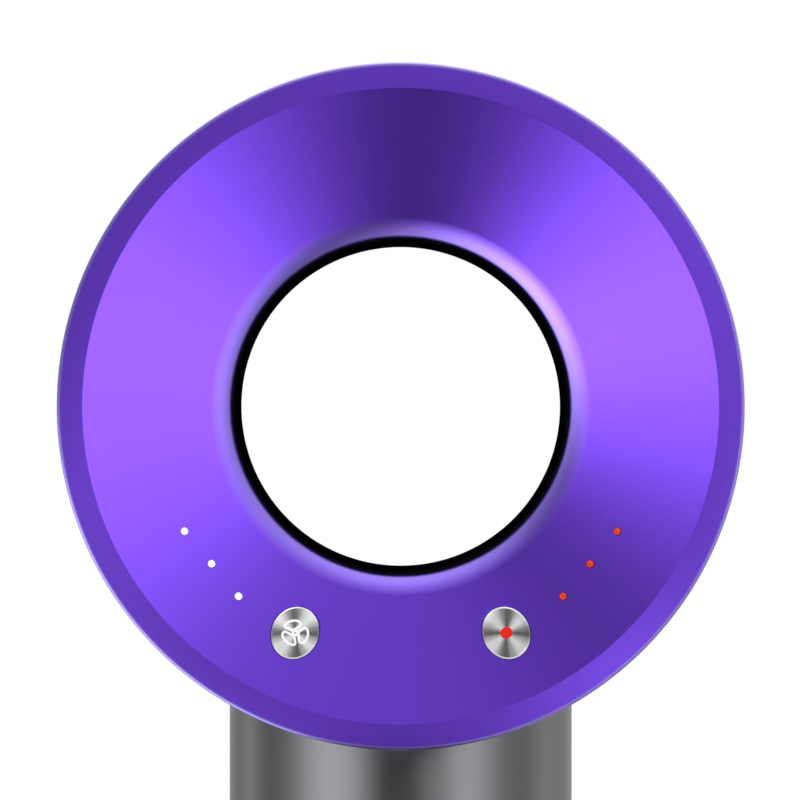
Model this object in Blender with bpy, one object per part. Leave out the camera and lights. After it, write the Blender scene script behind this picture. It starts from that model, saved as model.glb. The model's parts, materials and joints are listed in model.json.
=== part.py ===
"""Ring-head hair dryer, built as the assembly that it is.

The head is an annular air duct round an open bore. The handle holds the air inlet and its
filter, the motor, and the power controls. Metres, +Z up, rear face towards -Y, outlet towards +Y.
"""

import math

import bmesh
import bpy
from mathutils import Vector

# Driving dimensions of the head
HEAD_RADIUS = 0.039
HEAD_DEPTH = 0.097
HEAD_AXIS_Z = 0.206
HEAD_WALL = 0.0016
BORE_RADIUS = 0.0191
BEVEL_WIDTH = 0.0028
FACE_ANGLE = 22.0
BEVEL_ANGLE = 45.0
LIP_ROLL = 0.0055
LIP_ROUND = 0.0003
EDGE_ROUND = 0.0005
COVER_WALL = 0.0015
COVER_SKIRT = 0.0045
COLLAR_LENGTH = 0.006
LINER_WALL = 0.0012
LINER_SOCKET = 0.003
LINER_TAPER = 0.002
SPIGOT_LENGTH = 0.0036
SPIGOT_STEP = 0.002
FRONT_RING_DEPTH = 0.0057
FRONT_RING_WALL = 0.0014
FRONT_ROUND = 0.001
OUTLET_GAP = 0.0056
OUTLET_LIP = 0.004
THROAT_LENGTH = 0.012
THROAT_FLARE = 0.003
ATTACHMENT_RING_WIDTH = 0.0035
ATTACHMENT_RING_DEPTH = 0.002
VANE_COUNT = 9
VANE_THICKNESS = 0.0008
VANE_LENGTH = 0.006
VANE_SETBACK = 0.0055
VANE_STEP = 0.0006
SLEEVE_WALL = 0.0008
HEATER_START = 0.007
HEATER_LENGTH = 0.022
HEATER_PLATES = 8
HEATER_PLATE_THICKNESS = 0.0009
HEATER_NOTCH = 0.0035
COIL_WAVES = 9
COIL_WAVE_HEIGHT = 0.0034
COIL_WIRE_RADIUS = 0.0006
COIL_REACH = 350.0
GASKET_THICKNESS = 0.0009
BAFFLE_THICKNESS = 0.0012
CUTOUT_RADIUS = 0.0045
CUTOUT_HEIGHT = 0.0052
CUTOUT_CHAMFER = 0.0007

# Driving dimensions of the controls on the rear face
CONTROL_OFFSET = 0.0006
BUTTON_ANGLE = 25.0
BUTTON_WIDTH = 0.0056
BUTTON_LENGTH = 0.0061
BUTTON_PROUD = 0.0004
BUTTON_TRAVEL = 0.0006
BUTTON_FLANGE = 0.0008
BUTTON_EDGE = 0.0004
BUTTON_STEM_RADIUS = 0.0014
BUTTON_STEM_LENGTH = 0.0006
LED_COUNT = 3
LED_ROW_ANGLES = (40.5, 60.0)
LED_RADIUS = 0.00042
LED_PROUD = 0.00012
LED_CROWN = 0.00018
LED_SHOULDER = 0.00003
LED_BODY_RADIUS = 0.0009
BOARD_THICKNESS = 0.0012
BOARD_MARGIN = 0.001
BOARD_REACH = 78.0
SWITCH_HEIGHT = 0.002
SWITCH_RADIUS = 0.0035
SWITCH_HOLE_RADIUS = 0.0019
PLUNGER_RADIUS = 0.001
BOSS_ANGLES = (-68.0, 0.0, 68.0)
BOSS_OFFSET = 0.0022
BOSS_RADIUS = 0.0017
SCREW_RADIUS = 0.0008
SCREW_LENGTH = 0.003
SCREW_HEAD_RADIUS = 0.0016
SCREW_HEAD_HEIGHT = 0.0009

# Driving dimensions of the handle
HANDLE_RADIUS = 0.0197
HANDLE_WALL = 0.0016
HANDLE_SETBACK = 0.008
SADDLE_MARGIN = 0.004
NECK_RADIUS = 0.0152
NECK_WALL = 0.0014
NECK_FLANGE = 0.0015
NECK_DROP = 0.0082
CAGE_HEIGHT = 0.05
CAGE_WALL = 0.0013
CAGE_FLOOR = 0.0016
CAGE_FLOOR_HOLE = 0.012
CAGE_SLOT_ROWS = 4
CAGE_SLOT_HEIGHT = 0.0066
CAGE_SLOT_BAR = 0.003
CAGE_SLOT_RISE = 0.001
BASKET_BASE = 0.0026
BASKET_RIBS = 6
BASKET_RIB_DEPTH = 0.0018
BASKET_RIB_WIDTH = 0.0024
BASKET_COLLAR_DROP = 0.003
BASKET_COLLAR_RISE = 0.008
SCREEN_WALL = 0.0005
SCREEN_LAP = 0.002
GLAND_BORE = 0.0037
GLAND_WALL = 0.0023
GLAND_RECESS = 0.0004
GLAND_FLANGE = 0.0014
GLAND_FLANGE_HEIGHT = 0.0018
GLAND_HEIGHT = 0.0045
GLAND_TAPER = 0.0008
POWER_BOARD_WIDTH = 0.0216
POWER_BOARD_THICKNESS = 0.0014
POWER_BOARD_SETBACK = 0.007
POWER_BOARD_CLEARANCE = 0.004
CAPACITOR_RADIUS = 0.0036
CAPACITOR_LENGTH = 0.015
CAPACITOR_RISE = 0.016
SINK_FINS = 5
SINK_PITCH = 0.0026
SINK_BASE = 0.0014
SINK_DEPTH = 0.0036
SINK_RISE = 0.008
SINK_LENGTH = 0.02

# Driving dimensions of the motor
MOTOR_HEIGHT = 0.041
MOUNT_WALL = 0.0008
MOUNT_RIBS = 2
MOUNT_RIB = 0.005
MOUNT_RIB_CHAMFER = 0.0008
MOUNT_FLOOR = 0.0015
SHROUD_RADIUS = 0.0146
SHROUD_WALL = 0.0013
SHROUD_DROP = 0.001
AIR_PASSAGE = 0.004
HUB_WALL = 0.001
HUB_CLEARANCE = 0.0012
DIFFUSER_VANES = 7
DIFFUSER_VANE = 0.0008
DIFFUSER_SWEEP = -26.0
DIFFUSER_START = 0.002
DIFFUSER_END = 0.004
IMPELLER_RISE = 0.002
IMPELLER_HEIGHT = 0.011
IMPELLER_NOSE = 0.0032
IMPELLER_STEP = 0.0006
HUB_CURVE = 1.5
HUB_STEPS = 4
ROTOR_BLADES = 9
BLADE_SWEEP = 62.0
BLADE_CURVE = 1.3
BLADE_THICKNESS = 0.0007
BLADE_MARGIN = 0.0006
TIP_CLEARANCE = 0.0005
SHAFT_RADIUS = 0.0015
SHAFT_NOSE = 0.001
SHAFT_TAIL = 0.0008
BEARING_HEIGHT = 0.0022
BEARING_OUTER = 0.004
WINDING_HEIGHT = 0.003
WINDING_BULGE = 0.001
TOOTH_RADIUS = 0.0049
TEETH = 6
YOKE_WALL = 0.0012

# Driving dimensions of the controls on the handle's front
SLIDER_WIDTH = 0.0078
SLIDER_HEIGHT = 0.0124
SLIDER_TRAVEL = 0.004
SLIDER_DROP = 0.035
COOL_BUTTON_RADIUS = 0.0035
COOL_BUTTON_DROP = 0.017
COOL_BUTTON_TRAVEL = 0.0008
COOL_BUTTON_STEM = 0.0015
CONTROL_PROUD = 0.0006
CONTROL_EDGE = 0.0005
CONTROL_FLANGE = 0.0012
SLIDER_LAP = 0.0016
FINGER_WIDTH = 0.002
FINGER_HEIGHT = 0.003
FINGER_REACH = 0.0022
HOLDER_DEPTH = 0.0034
HOLDER_WIDTH = 0.0164
HOLDER_CHEEK = 0.0012
HOLDER_RISE = 0.0015
SWITCH_SPACE = 0.0057
POWER_SWITCH_WIDTH = 0.008
POWER_SWITCH_MARGIN = 0.005

# Clearances and facets
GAP = 0.0003
FIT = 0.00015
TRAVEL_MARGIN = 0.0001
ROOT_LAP = 0.0005
HEAD_SIDES = 36
HANDLE_SIDES = 28
SADDLE_SIDES = 60
INNER_SIDES = 22
SMALL_SIDES = 14
BUTTON_SIDES = 16
PIN_SIDES = 8
LENS_SIDES = 6

# Finishes: colour, roughness, metallic
PURPLE_METAL = ((0.2, 0.075, 0.85), 0.28, 1.0)
SATIN_GREY = ((0.2, 0.2, 0.21), 0.34, 1.0)
SPUN_STEEL = ((0.62, 0.61, 0.63), 0.22, 1.0)
DARK_STEEL = ((0.3, 0.3, 0.31), 0.35, 1.0)
COPPER = ((0.72, 0.33, 0.16), 0.3, 1.0)
BRIGHT_ALLOY = ((0.7, 0.71, 0.72), 0.3, 1.0)
DEEP_BLACK = ((0.006, 0.006, 0.008), 0.6, 0.0)
MATT_BLACK = ((0.018, 0.018, 0.02), 0.5, 0.0)
GREY_RUBBER = ((0.06, 0.06, 0.065), 0.75, 0.0)
BOARD_GREEN = ((0.02, 0.12, 0.06), 0.45, 0.0)
MICA = ((0.55, 0.48, 0.36), 0.6, 0.0)
CLEAR_WHITE = ((0.95, 0.95, 0.97), 0.2, 0.0)
CLEAR_RED = ((0.85, 0.05, 0.02), 0.2, 0.0)
GREY_MESH = ((0.1, 0.1, 0.11), 0.55, 0.6)

# Places along the head's axis, negative behind the middle
REAR = -HEAD_DEPTH / 2
FRONT = HEAD_DEPTH / 2
FACE_SLOPE = math.tan(math.radians(FACE_ANGLE))
FACE_COSINE = math.cos(math.radians(FACE_ANGLE))
BEVEL_SLOPE = math.tan(math.radians(BEVEL_ANGLE))
BEVEL_COSINE = math.cos(math.radians(BEVEL_ANGLE))
RIM_RADIUS = HEAD_RADIUS - BEVEL_WIDTH
LIP_CREST = BORE_RADIUS + LIP_ROUND
LIP_EDGE = (
    LIP_CREST + LIP_ROLL * math.sin(math.radians(FACE_ANGLE)),
    REAR + LIP_ROLL * (1 - FACE_COSINE),
)


def face_axial(radius, depth=0.0):
    """Place along the axis of the rear cone at a radius, at a depth below its surface."""
    return LIP_EDGE[1] + (radius - LIP_EDGE[0]) * FACE_SLOPE + depth / FACE_COSINE


def bevel_axial(radius, depth=0.0):
    """Place along the axis of the bevel round the rear face."""
    return face_axial(RIM_RADIUS) + (radius - RIM_RADIUS) * BEVEL_SLOPE + depth / BEVEL_COSINE


EDGE_CENTRE = (HEAD_RADIUS - EDGE_ROUND, bevel_axial(HEAD_RADIUS - EDGE_ROUND, EDGE_ROUND))
COVER_SEAM = EDGE_CENTRE[1] + COVER_SKIRT
COVER_INNER = HEAD_RADIUS - COVER_WALL
COLLAR_END = REAR + COLLAR_LENGTH
SPIGOT_OUTER = COVER_INNER - GAP
SPIGOT_INNER = SPIGOT_OUTER - HEAD_WALL
SHELL_INNER = HEAD_RADIUS - HEAD_WALL
STEP_FRONT = COVER_SEAM + GAP + SPIGOT_STEP
LINER_OUTER = BORE_RADIUS + LINER_WALL
OUTLET_RADIUS = LINER_OUTER + OUTLET_GAP
FRONT_SEAM = FRONT - FRONT_RING_DEPTH

# The controls lie midway between the lip and the rim, a little towards the lip
CONTROL_RADIUS = (LIP_EDGE[0] + RIM_RADIUS) / 2 - CONTROL_OFFSET
BOSS_CIRCLE = CONTROL_RADIUS + BOSS_OFFSET

# The stack from a button's flange to the control board
FLANGE_REACH = CONTROL_RADIUS + BUTTON_LENGTH / 2 + BUTTON_FLANGE
FLANGE_FRONT = face_axial(FLANGE_REACH, COVER_WALL + GAP) + BUTTON_FLANGE
STEM_END = FLANGE_FRONT + BUTTON_STEM_LENGTH
PLUNGER_TOP = STEM_END + GAP
SWITCH_TOP = PLUNGER_TOP + BUTTON_TRAVEL + TRAVEL_MARGIN
BOARD_REAR = SWITCH_TOP + SWITCH_HEIGHT + GAP
BOARD_FRONT = BOARD_REAR + BOARD_THICKNESS

# Places along the handle's axis
HANDLE_INNER = HANDLE_RADIUS - HANDLE_WALL
CAGE_INNER = HANDLE_RADIUS - CAGE_WALL
TUBE_BASE = CAGE_HEIGHT + GAP
BASE_LOW = CAGE_FLOOR + GAP
BASE_TOP = BASE_LOW + BASKET_BASE
SCREEN_OUTER = CAGE_INNER - GAP
SCREEN_INNER = SCREEN_OUTER - SCREEN_WALL
RIB_OUTER = SCREEN_INNER - GAP
RIB_INNER = RIB_OUTER - BASKET_RIB_DEPTH
COLLAR_BASE = CAGE_HEIGHT - BASKET_COLLAR_DROP
COLLAR_TOP = CAGE_HEIGHT + BASKET_COLLAR_RISE
MOUNT_BASE = COLLAR_TOP + GAP
MOUNT_TOP = MOUNT_BASE + MOTOR_HEIGHT
SHROUD_BASE = MOUNT_BASE + MOUNT_FLOOR + GAP
SHROUD_TOP = MOUNT_TOP - SHROUD_DROP
SHROUD_INNER = SHROUD_RADIUS - SHROUD_WALL
HUB_RADIUS = SHROUD_INNER - AIR_PASSAGE
HUB_INNER = HUB_RADIUS - HUB_WALL
HUB_TOP = SHROUD_TOP
IMPELLER_BASE = SHROUD_BASE + IMPELLER_RISE
IMPELLER_TOP = IMPELLER_BASE + IMPELLER_HEIGHT
HUB_BASE = IMPELLER_TOP + HUB_CLEARANCE
BEARING_SEAT = BEARING_OUTER + GAP
SHAFT_CLEAR = SHAFT_RADIUS + GAP
CARRIER_TOP = HUB_BASE + BEARING_HEIGHT + GAP
PLATE_BASE = HUB_TOP - BEARING_HEIGHT - GAP
CORE_BASE = CARRIER_TOP + GAP + WINDING_HEIGHT + GAP
CORE_TOP = PLATE_BASE - GAP - WINDING_HEIGHT - GAP
CORE_OUTER = HUB_INNER - GAP
SLIDER_BASE_Z = HEAD_AXIS_Z - HEAD_RADIUS - SLIDER_DROP
COOL_BUTTON_Z = SLIDER_BASE_Z - COOL_BUTTON_DROP
SLIDER_OPEN_HEIGHT = SLIDER_HEIGHT + SLIDER_TRAVEL + 2 * GAP
SLIDER_FLANGE_LAP = SLIDER_TRAVEL + SLIDER_LAP
FLANGE_OUTER = HANDLE_INNER - GAP
FLANGE_INNER = FLANGE_OUTER - CONTROL_FLANGE
HOLDER_FRONT = FLANGE_INNER - GAP
HOLDER_BACK = HOLDER_FRONT - HOLDER_DEPTH
SWITCH_BOARD_BACK = HOLDER_BACK - SWITCH_SPACE
SWITCH_BOARD_FRONT = SWITCH_BOARD_BACK + BOARD_THICKNESS
HOLDER_BASE_Z = MOUNT_TOP + HOLDER_RISE
NECK_FLANGE_Z = HEAD_AXIS_Z - HEAD_RADIUS - NECK_DROP
HOLDER_TOP_Z = NECK_FLANGE_Z - GAP
PAD_MIDDLE = SLIDER_BASE_Z + GAP + SLIDER_HEIGHT / 2


def arc(centre, radius, start, end, steps):
    """Points of an arc, as (radius, axial), with angles in degrees from the radial direction."""
    angles = [math.radians(start + (end - start) * i / steps) for i in range(steps + 1)]
    return [(centre[0] + radius * math.cos(a), centre[1] + radius * math.sin(a)) for a in angles]


def circle(radius, sides, centre=(0.0, 0.0)):
    return arc(centre, radius, 0, 360 * (sides - 1) / sides, sides - 1)


def stadium(width, height, steps=6):
    """Outline of an upright slot with round ends."""
    straight = (height - width) / 2
    top = arc((0, straight), width / 2, 0, 180, steps)
    return top + arc((0, -straight), width / 2, 180, 360, steps)


def polar(radius, degrees):
    """A point of the head's section, at an angle from its lowest point towards +X."""
    angle = math.radians(degrees)
    return Vector((radius * math.sin(angle), radius * math.cos(angle), 0.0))


def tube_section(inner, outer, low, high):
    """The profile of a plain ring or tube."""
    return [(inner, low), (outer, low), (outer, high), (inner, high)]


def turned(profile, sides):
    """A closed profile of (radius, axial) points turned round the Z axis."""
    bm = bmesh.new()
    verts = [bm.verts.new((radius, 0.0, axial)) for radius, axial in profile]
    edges = []
    for first, second in zip(verts, verts[1:] + verts[:1]):
        if first.co.x > 0 or second.co.x > 0:
            edges.append(bm.edges.new((first, second)))
    bmesh.ops.spin(
        bm, geom=verts + edges, cent=(0, 0, 0), axis=(0, 0, 1), angle=math.tau, steps=sides, use_merge=True
    )
    bmesh.ops.remove_doubles(bm, verts=bm.verts, dist=1e-6)
    bmesh.ops.recalc_face_normals(bm, faces=bm.faces)
    return bm


def loft(bm, rings):
    """A solid through rings of equal counts of points, closed at both ends. Adds to the mesh given."""
    rows = [[bm.verts.new(point) for point in ring] for ring in rings]
    faces = [bm.faces.new(rows[0][::-1]), bm.faces.new(rows[-1])]
    for low, high in zip(rows, rows[1:]):
        for i, vert in enumerate(low):
            j = (i + 1) % len(low)
            faces.append(bm.faces.new((vert, low[j], high[j], high[i])))
    bmesh.ops.recalc_face_normals(bm, faces=faces)
    return bm


def prism(outline, low, high, bm=None):
    """An outline in XY drawn along Z. An end may be a function of x and y."""
    rings = []
    for end in (low, high):
        height = end if callable(end) else lambda x, y, fixed=end: fixed
        rings.append([(x, y, height(x, y)) for x, y in outline])
    return loft(bm or bmesh.new(), rings)


def block(low, high, bm=None):
    """A box between two corners."""
    outline = [(low[0], low[1]), (high[0], low[1]), (high[0], high[1]), (low[0], high[1])]
    return prism(outline, low[2], high[2], bm)


def ring_prism(outer, inner, low, high):
    """A prism with a hole: both outlines have the same count of points."""
    bm = bmesh.new()
    loops = [(outer, low), (outer, high), (inner, high), (inner, low)]
    rows = [[bm.verts.new((x, y, z)) for x, y in outline] for outline, z in loops]
    for first, second in zip(rows, rows[1:] + rows[:1]):
        for i, vert in enumerate(first):
            j = (i + 1) % len(first)
            bm.faces.new((vert, first[j], second[j], second[i]))
    bmesh.ops.recalc_face_normals(bm, faces=bm.faces)
    return bm


def frame(name, location, parent=None, turn=0.0):
    """An empty that carries pieces. A turn of -90 degrees about X lays its Z axis along +Y."""
    empty = bpy.data.objects.new(name, None)
    bpy.context.scene.collection.objects.link(empty)
    empty.location = location
    empty.rotation_euler = (math.radians(turn), 0.0, 0.0)
    empty.parent = parent
    return empty


def link(name, data, parent, location):
    obj = bpy.data.objects.new(name, data)
    bpy.context.scene.collection.objects.link(obj)
    obj.parent = parent
    obj.location = location
    return obj


def paint(obj, finish):
    """Gives an object its own material."""
    colour, roughness, metallic = finish
    material = bpy.data.materials.new(obj.name)
    material.use_nodes = True
    shader = material.node_tree.nodes["Principled BSDF"]
    shader.inputs["Base Color"].default_value = (*colour, 1.0)
    shader.inputs["Roughness"].default_value = roughness
    shader.inputs["Metallic"].default_value = metallic
    obj.data.materials.append(material)


def piece(name, bm, parent, finish, location=(0.0, 0.0, 0.0)):
    """A named sub-part from a mesh."""
    mesh = bpy.data.meshes.new(name)
    bm.to_mesh(mesh)
    bm.free()
    mesh.shade_smooth()
    mesh.set_sharp_from_angle(angle=math.radians(32))
    obj = link(name, mesh, parent, location)
    paint(obj, finish)
    return obj


def helper(name, bm, parent, location=(0.0, 0.0, 0.0)):
    """A shape that a Boolean adds or takes away."""
    mesh = bpy.data.meshes.new(name)
    bm.to_mesh(mesh)
    bm.free()
    obj = link(name, mesh, parent, location)
    obj.hide_render = True
    obj.display_type = "WIRE"
    return obj


def combine(obj, operation, tool):
    modifier = obj.modifiers.new(f"{operation.lower()}_{tool.name}", "BOOLEAN")
    modifier.operation = operation
    modifier.solver = "EXACT"
    modifier.object = tool


def cut(obj, *tools):
    for tool in tools:
        combine(obj, "DIFFERENCE", tool)


def join(obj, *tools):
    for tool in tools:
        combine(obj, "UNION", tool)


def oval(centre, half_length, half_width):
    """An oval round a centre on the rear face, with its length along the radius."""
    along = centre.normalized()
    across = Vector((along.y, -along.x, 0.0))
    points = []
    for x, y in circle(1.0, BUTTON_SIDES):
        points.append(along * (half_length * x) + across * (half_width * y))
    return [(point.x, point.y) for point in points]


def button_outline(centre, grow=0.0):
    return oval(centre, BUTTON_LENGTH / 2 + grow, BUTTON_WIDTH / 2 + grow)


def led_place(i, side):
    """Where an indicator stands: each side has a straight row of them."""
    first, last = (polar(CONTROL_RADIUS, side * angle) for angle in LED_ROW_ANGLES)
    return first.lerp(last, i / (LED_COUNT - 1))


def on_face(centre, depth):
    """Height function that follows the rear cone under a piece standing at a centre."""
    return lambda x, y: face_axial(math.hypot(centre.x + x, centre.y + y), depth)


def stepped_pin(steps):
    """A loft whose rings are outlines, each at a fixed height or at one that a function gives."""
    rings = []
    for outline, place in steps:
        height = place if callable(place) else lambda x, y, fixed=place: fixed
        rings.append([(x, y, height(x, y)) for x, y in outline])
    return loft(bmesh.new(), rings)


def rear_cover(head):
    """Bell-shaped rear cover: lip, cone, bevel and skirt, with the holes of its controls."""
    collar_outer = BORE_RADIUS + COVER_WALL
    crease = (
        face_axial(0.0, COVER_WALL) - bevel_axial(0.0, COVER_WALL)
    ) / (BEVEL_SLOPE - FACE_SLOPE)
    profile = [(BORE_RADIUS, COLLAR_END)]
    profile += arc((LIP_CREST, REAR + LIP_ROUND), LIP_ROUND, 180, 270, 2)
    profile += arc((LIP_CREST, REAR + LIP_ROLL), LIP_ROLL, 270, 270 + FACE_ANGLE, 2)[1:]
    profile += [(RIM_RADIUS, face_axial(RIM_RADIUS))]
    profile += arc(EDGE_CENTRE, EDGE_ROUND, 270 + BEVEL_ANGLE, 360, 1)
    profile += [(HEAD_RADIUS, COVER_SEAM), (COVER_INNER, COVER_SEAM)]
    profile += [(COVER_INNER, bevel_axial(COVER_INNER, COVER_WALL))]
    profile += [(crease, face_axial(crease, COVER_WALL))]
    profile += [(collar_outer, face_axial(collar_outer, COVER_WALL)), (collar_outer, COLLAR_END)]
    cover = piece("rear_cover", turned(profile, HEAD_SIDES), head, PURPLE_METAL)
    for i, angle in enumerate(BOSS_ANGLES):
        centre = polar(BOSS_CIRCLE, angle)
        outline = circle(BOSS_RADIUS, SMALL_SIDES)
        boss = prism(outline, on_face(centre, COVER_WALL / 2), BOARD_REAR - GAP)
        pilot = prism(circle(SCREW_RADIUS + FIT, PIN_SIDES), on_face(centre, COVER_WALL), BOARD_REAR)
        join(cover, helper(f"boss_{i}", boss, head, centre))
        cut(cover, helper(f"boss_pilot_{i}", pilot, head, centre))
    for side in (-1, 1):
        centre = polar(CONTROL_RADIUS, side * BUTTON_ANGLE)
        opening = prism(button_outline(centre, FIT), REAR, on_face(centre, 2 * COVER_WALL))
        cut(cover, helper(f"button_hole_{side}", opening, head, centre))
        for i in range(LED_COUNT):
            centre = led_place(i, side)
            opening = prism(circle(LED_RADIUS + FIT, LENS_SIDES), REAR, on_face(centre, 2 * COVER_WALL))
            cut(cover, helper(f"led_hole_{side}_{i}", opening, head, centre))


def face_button(name, head, side):
    """Oval push button with a retaining flange under the cover and a stem to its switch."""
    centre = polar(CONTROL_RADIUS, side * BUTTON_ANGLE)
    stem = oval(centre, BUTTON_STEM_RADIUS, BUTTON_STEM_RADIUS)
    flange = button_outline(centre, BUTTON_FLANGE)
    steps = [
        (button_outline(centre, -BUTTON_EDGE), on_face(centre, -BUTTON_PROUD)),
        (button_outline(centre), on_face(centre, BUTTON_EDGE / 2 - BUTTON_PROUD)),
        (button_outline(centre), on_face(centre, COVER_WALL + GAP)),
        (flange, on_face(centre, COVER_WALL + GAP)),
        (flange, FLANGE_FRONT),
        (stem, FLANGE_FRONT),
        (stem, STEM_END),
    ]
    piece(name, stepped_pin(steps), head, SPUN_STEEL, centre)


def switch_body(low, high):
    """Square switch body with a well for its plunger."""
    return turned(tube_section(SWITCH_HOLE_RADIUS, SWITCH_RADIUS, low, high), 4)


def face_switch(name, plunger_name, head, side):
    """Tactile switch on the control board, and the plunger that its button pushes."""
    centre = polar(CONTROL_RADIUS, side * BUTTON_ANGLE)
    foot = SWITCH_TOP + SWITCH_HEIGHT
    piece(name, switch_body(SWITCH_TOP, foot), head, MATT_BLACK, centre)
    plunger = prism(circle(PLUNGER_RADIUS, PIN_SIDES), PLUNGER_TOP, foot - BUTTON_TRAVEL - GAP)
    piece(plunger_name, plunger, head, SPUN_STEEL, centre)


def light_pipe(name, head, centre, finish):
    """Indicator lens: a thin tip in the cover and a thicker body down to the board."""
    tip = circle(LED_RADIUS, LENS_SIDES)
    body = circle(LED_BODY_RADIUS, LENS_SIDES)
    steps = [
        (circle(LED_RADIUS - LED_CROWN, LENS_SIDES), on_face(centre, -LED_PROUD)),
        (tip, on_face(centre, LED_SHOULDER)),
        (tip, on_face(centre, COVER_WALL + GAP)),
        (body, on_face(centre, COVER_WALL + GAP)),
        (body, BOARD_REAR - GAP),
    ]
    piece(name, stepped_pin(steps), head, finish, centre)


def control_board(head):
    """Part-ring circuit board behind the rear face, screwed to the cover's bosses."""
    outer = SPIGOT_INNER - GAP
    inner = BORE_RADIUS + COVER_WALL + GAP + LINER_WALL + BOARD_MARGIN
    outline = arc((0, 0), outer, 90 - BOARD_REACH, 90 + BOARD_REACH, 14)
    outline += arc((0, 0), inner, 90 + BOARD_REACH, 90 - BOARD_REACH, 10)
    board = piece("control_board", prism(outline, BOARD_REAR, BOARD_FRONT), head, BOARD_GREEN)
    for i, angle in enumerate(BOSS_ANGLES):
        centre = polar(BOSS_CIRCLE, angle)
        hole = prism(circle(SCREW_RADIUS + GAP, PIN_SIDES), BOARD_REAR - GAP, BOARD_FRONT + GAP)
        cut(board, helper(f"board_hole_{i}", hole, head, centre))
        tip = BOARD_REAR - SCREW_LENGTH
        low = BOARD_FRONT + GAP
        high = low + SCREW_HEAD_HEIGHT
        profile = [(0.0, tip), (SCREW_RADIUS, tip), (SCREW_RADIUS, low)]
        profile += [(SCREW_HEAD_RADIUS, low), (SCREW_HEAD_RADIUS, high), (0.0, high)]
        piece(f"board_screw_{i + 1}", turned(profile, PIN_SIDES), head, BRIGHT_ALLOY, centre)


def head_shell(head):
    """Outer barrel of the head, with a spigot for the rear cover and the hole of the neck."""
    rear = COVER_SEAM + GAP
    profile = [(SPIGOT_INNER, COVER_SEAM - SPIGOT_LENGTH), (SPIGOT_OUTER, COVER_SEAM - SPIGOT_LENGTH)]
    profile += [(SPIGOT_OUTER, rear), (HEAD_RADIUS, rear), (HEAD_RADIUS, FRONT_SEAM - GAP)]
    profile += [(SHELL_INNER, FRONT_SEAM - GAP), (SHELL_INNER, STEP_FRONT), (SPIGOT_INNER, STEP_FRONT)]
    shell = piece("head_shell", turned(profile, HEAD_SIDES), head, SATIN_GREY)
    return shell


def bore_liner(head):
    """Black tube of the open bore, with a socket for the cover's collar and a rounded front lip."""
    socket_inner = BORE_RADIUS + COVER_WALL + GAP
    socket_outer = socket_inner + LINER_WALL
    half = LINER_WALL / 2
    profile = [(BORE_RADIUS, COLLAR_END + GAP)]
    profile += arc((BORE_RADIUS + half, FRONT - half), half, 180, 0, 2)
    profile += [(LINER_OUTER, COLLAR_END + 2 * LINER_TAPER), (socket_outer, COLLAR_END + LINER_TAPER)]
    profile += [(socket_outer, COLLAR_END - LINER_SOCKET), (socket_inner, COLLAR_END - LINER_SOCKET)]
    profile += [(socket_inner, COLLAR_END + GAP)]
    piece("bore_liner", turned(profile, HEAD_SIDES), head, DEEP_BLACK)


def front_ring(head):
    """Front ring: flat face for attachments, and the outer wall of the annular outlet."""
    wall = FRONT_RING_WALL
    face = FRONT - wall
    spigot_outer = SHELL_INNER - GAP
    spigot_inner = spigot_outer - HEAD_WALL
    throat = FRONT - THROAT_LENGTH
    flare = OUTLET_RADIUS + THROAT_FLARE
    profile = [(HEAD_RADIUS, FRONT_SEAM)]
    profile += arc((HEAD_RADIUS - FRONT_ROUND, FRONT - FRONT_ROUND), FRONT_ROUND, 0, 90, 2)
    profile += arc((OUTLET_RADIUS + FRONT_ROUND, FRONT - FRONT_ROUND), FRONT_ROUND, 90, 180, 1)
    profile += [(OUTLET_RADIUS, FRONT - OUTLET_LIP), (flare, throat)]
    profile += [(flare + wall, throat), (OUTLET_RADIUS + wall, FRONT - OUTLET_LIP)]
    profile += [(OUTLET_RADIUS + wall, face), (spigot_inner, face)]
    profile += [(spigot_inner, FRONT_SEAM - SPIGOT_LENGTH), (spigot_outer, FRONT_SEAM - SPIGOT_LENGTH)]
    profile += [(spigot_outer, FRONT_SEAM)]
    piece("front_ring", turned(profile, HEAD_SIDES), head, SATIN_GREY)
    outer = spigot_inner - GAP
    inner = outer - ATTACHMENT_RING_WIDTH
    high = face - GAP
    low = high - ATTACHMENT_RING_DEPTH
    steel = tube_section(inner, outer, low, high)
    piece("attachment_ring", turned(steel, INNER_SIDES), head, DARK_STEEL)


def outlet_vanes(head):
    """Ring of straightening vanes behind the outlet, on a sleeve round the liner."""
    inner = LINER_OUTER + GAP
    sleeve = inner + SLEEVE_WALL
    high = FRONT - VANE_SETBACK
    low = high - VANE_LENGTH
    profile = tube_section(inner, sleeve, low, high)
    ring = piece("outlet_vanes", turned(profile, INNER_SIDES), head, MATT_BLACK)
    vanes = radial_plates(
        VANE_COUNT, sleeve - ROOT_LAP, OUTLET_RADIUS - GAP, VANE_THICKNESS, low, high - VANE_STEP
    )
    join(ring, helper("vane_plates", vanes, head))


def radial_plates(count, inner, outer, thickness, low, high):
    """Flat plates standing round an axis, all in one mesh."""
    bm = bmesh.new()
    for i in range(count):
        angle = math.tau * (i + 0.5) / count
        along = Vector((math.cos(angle), math.sin(angle)))
        across = Vector((-along.y, along.x)) * (thickness / 2)
        near = along * inner
        far = along * outer
        corners = [near - across, far - across, far + across, near + across]
        prism([tuple(corner) for corner in corners], low, high, bm)
    return bm


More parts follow.
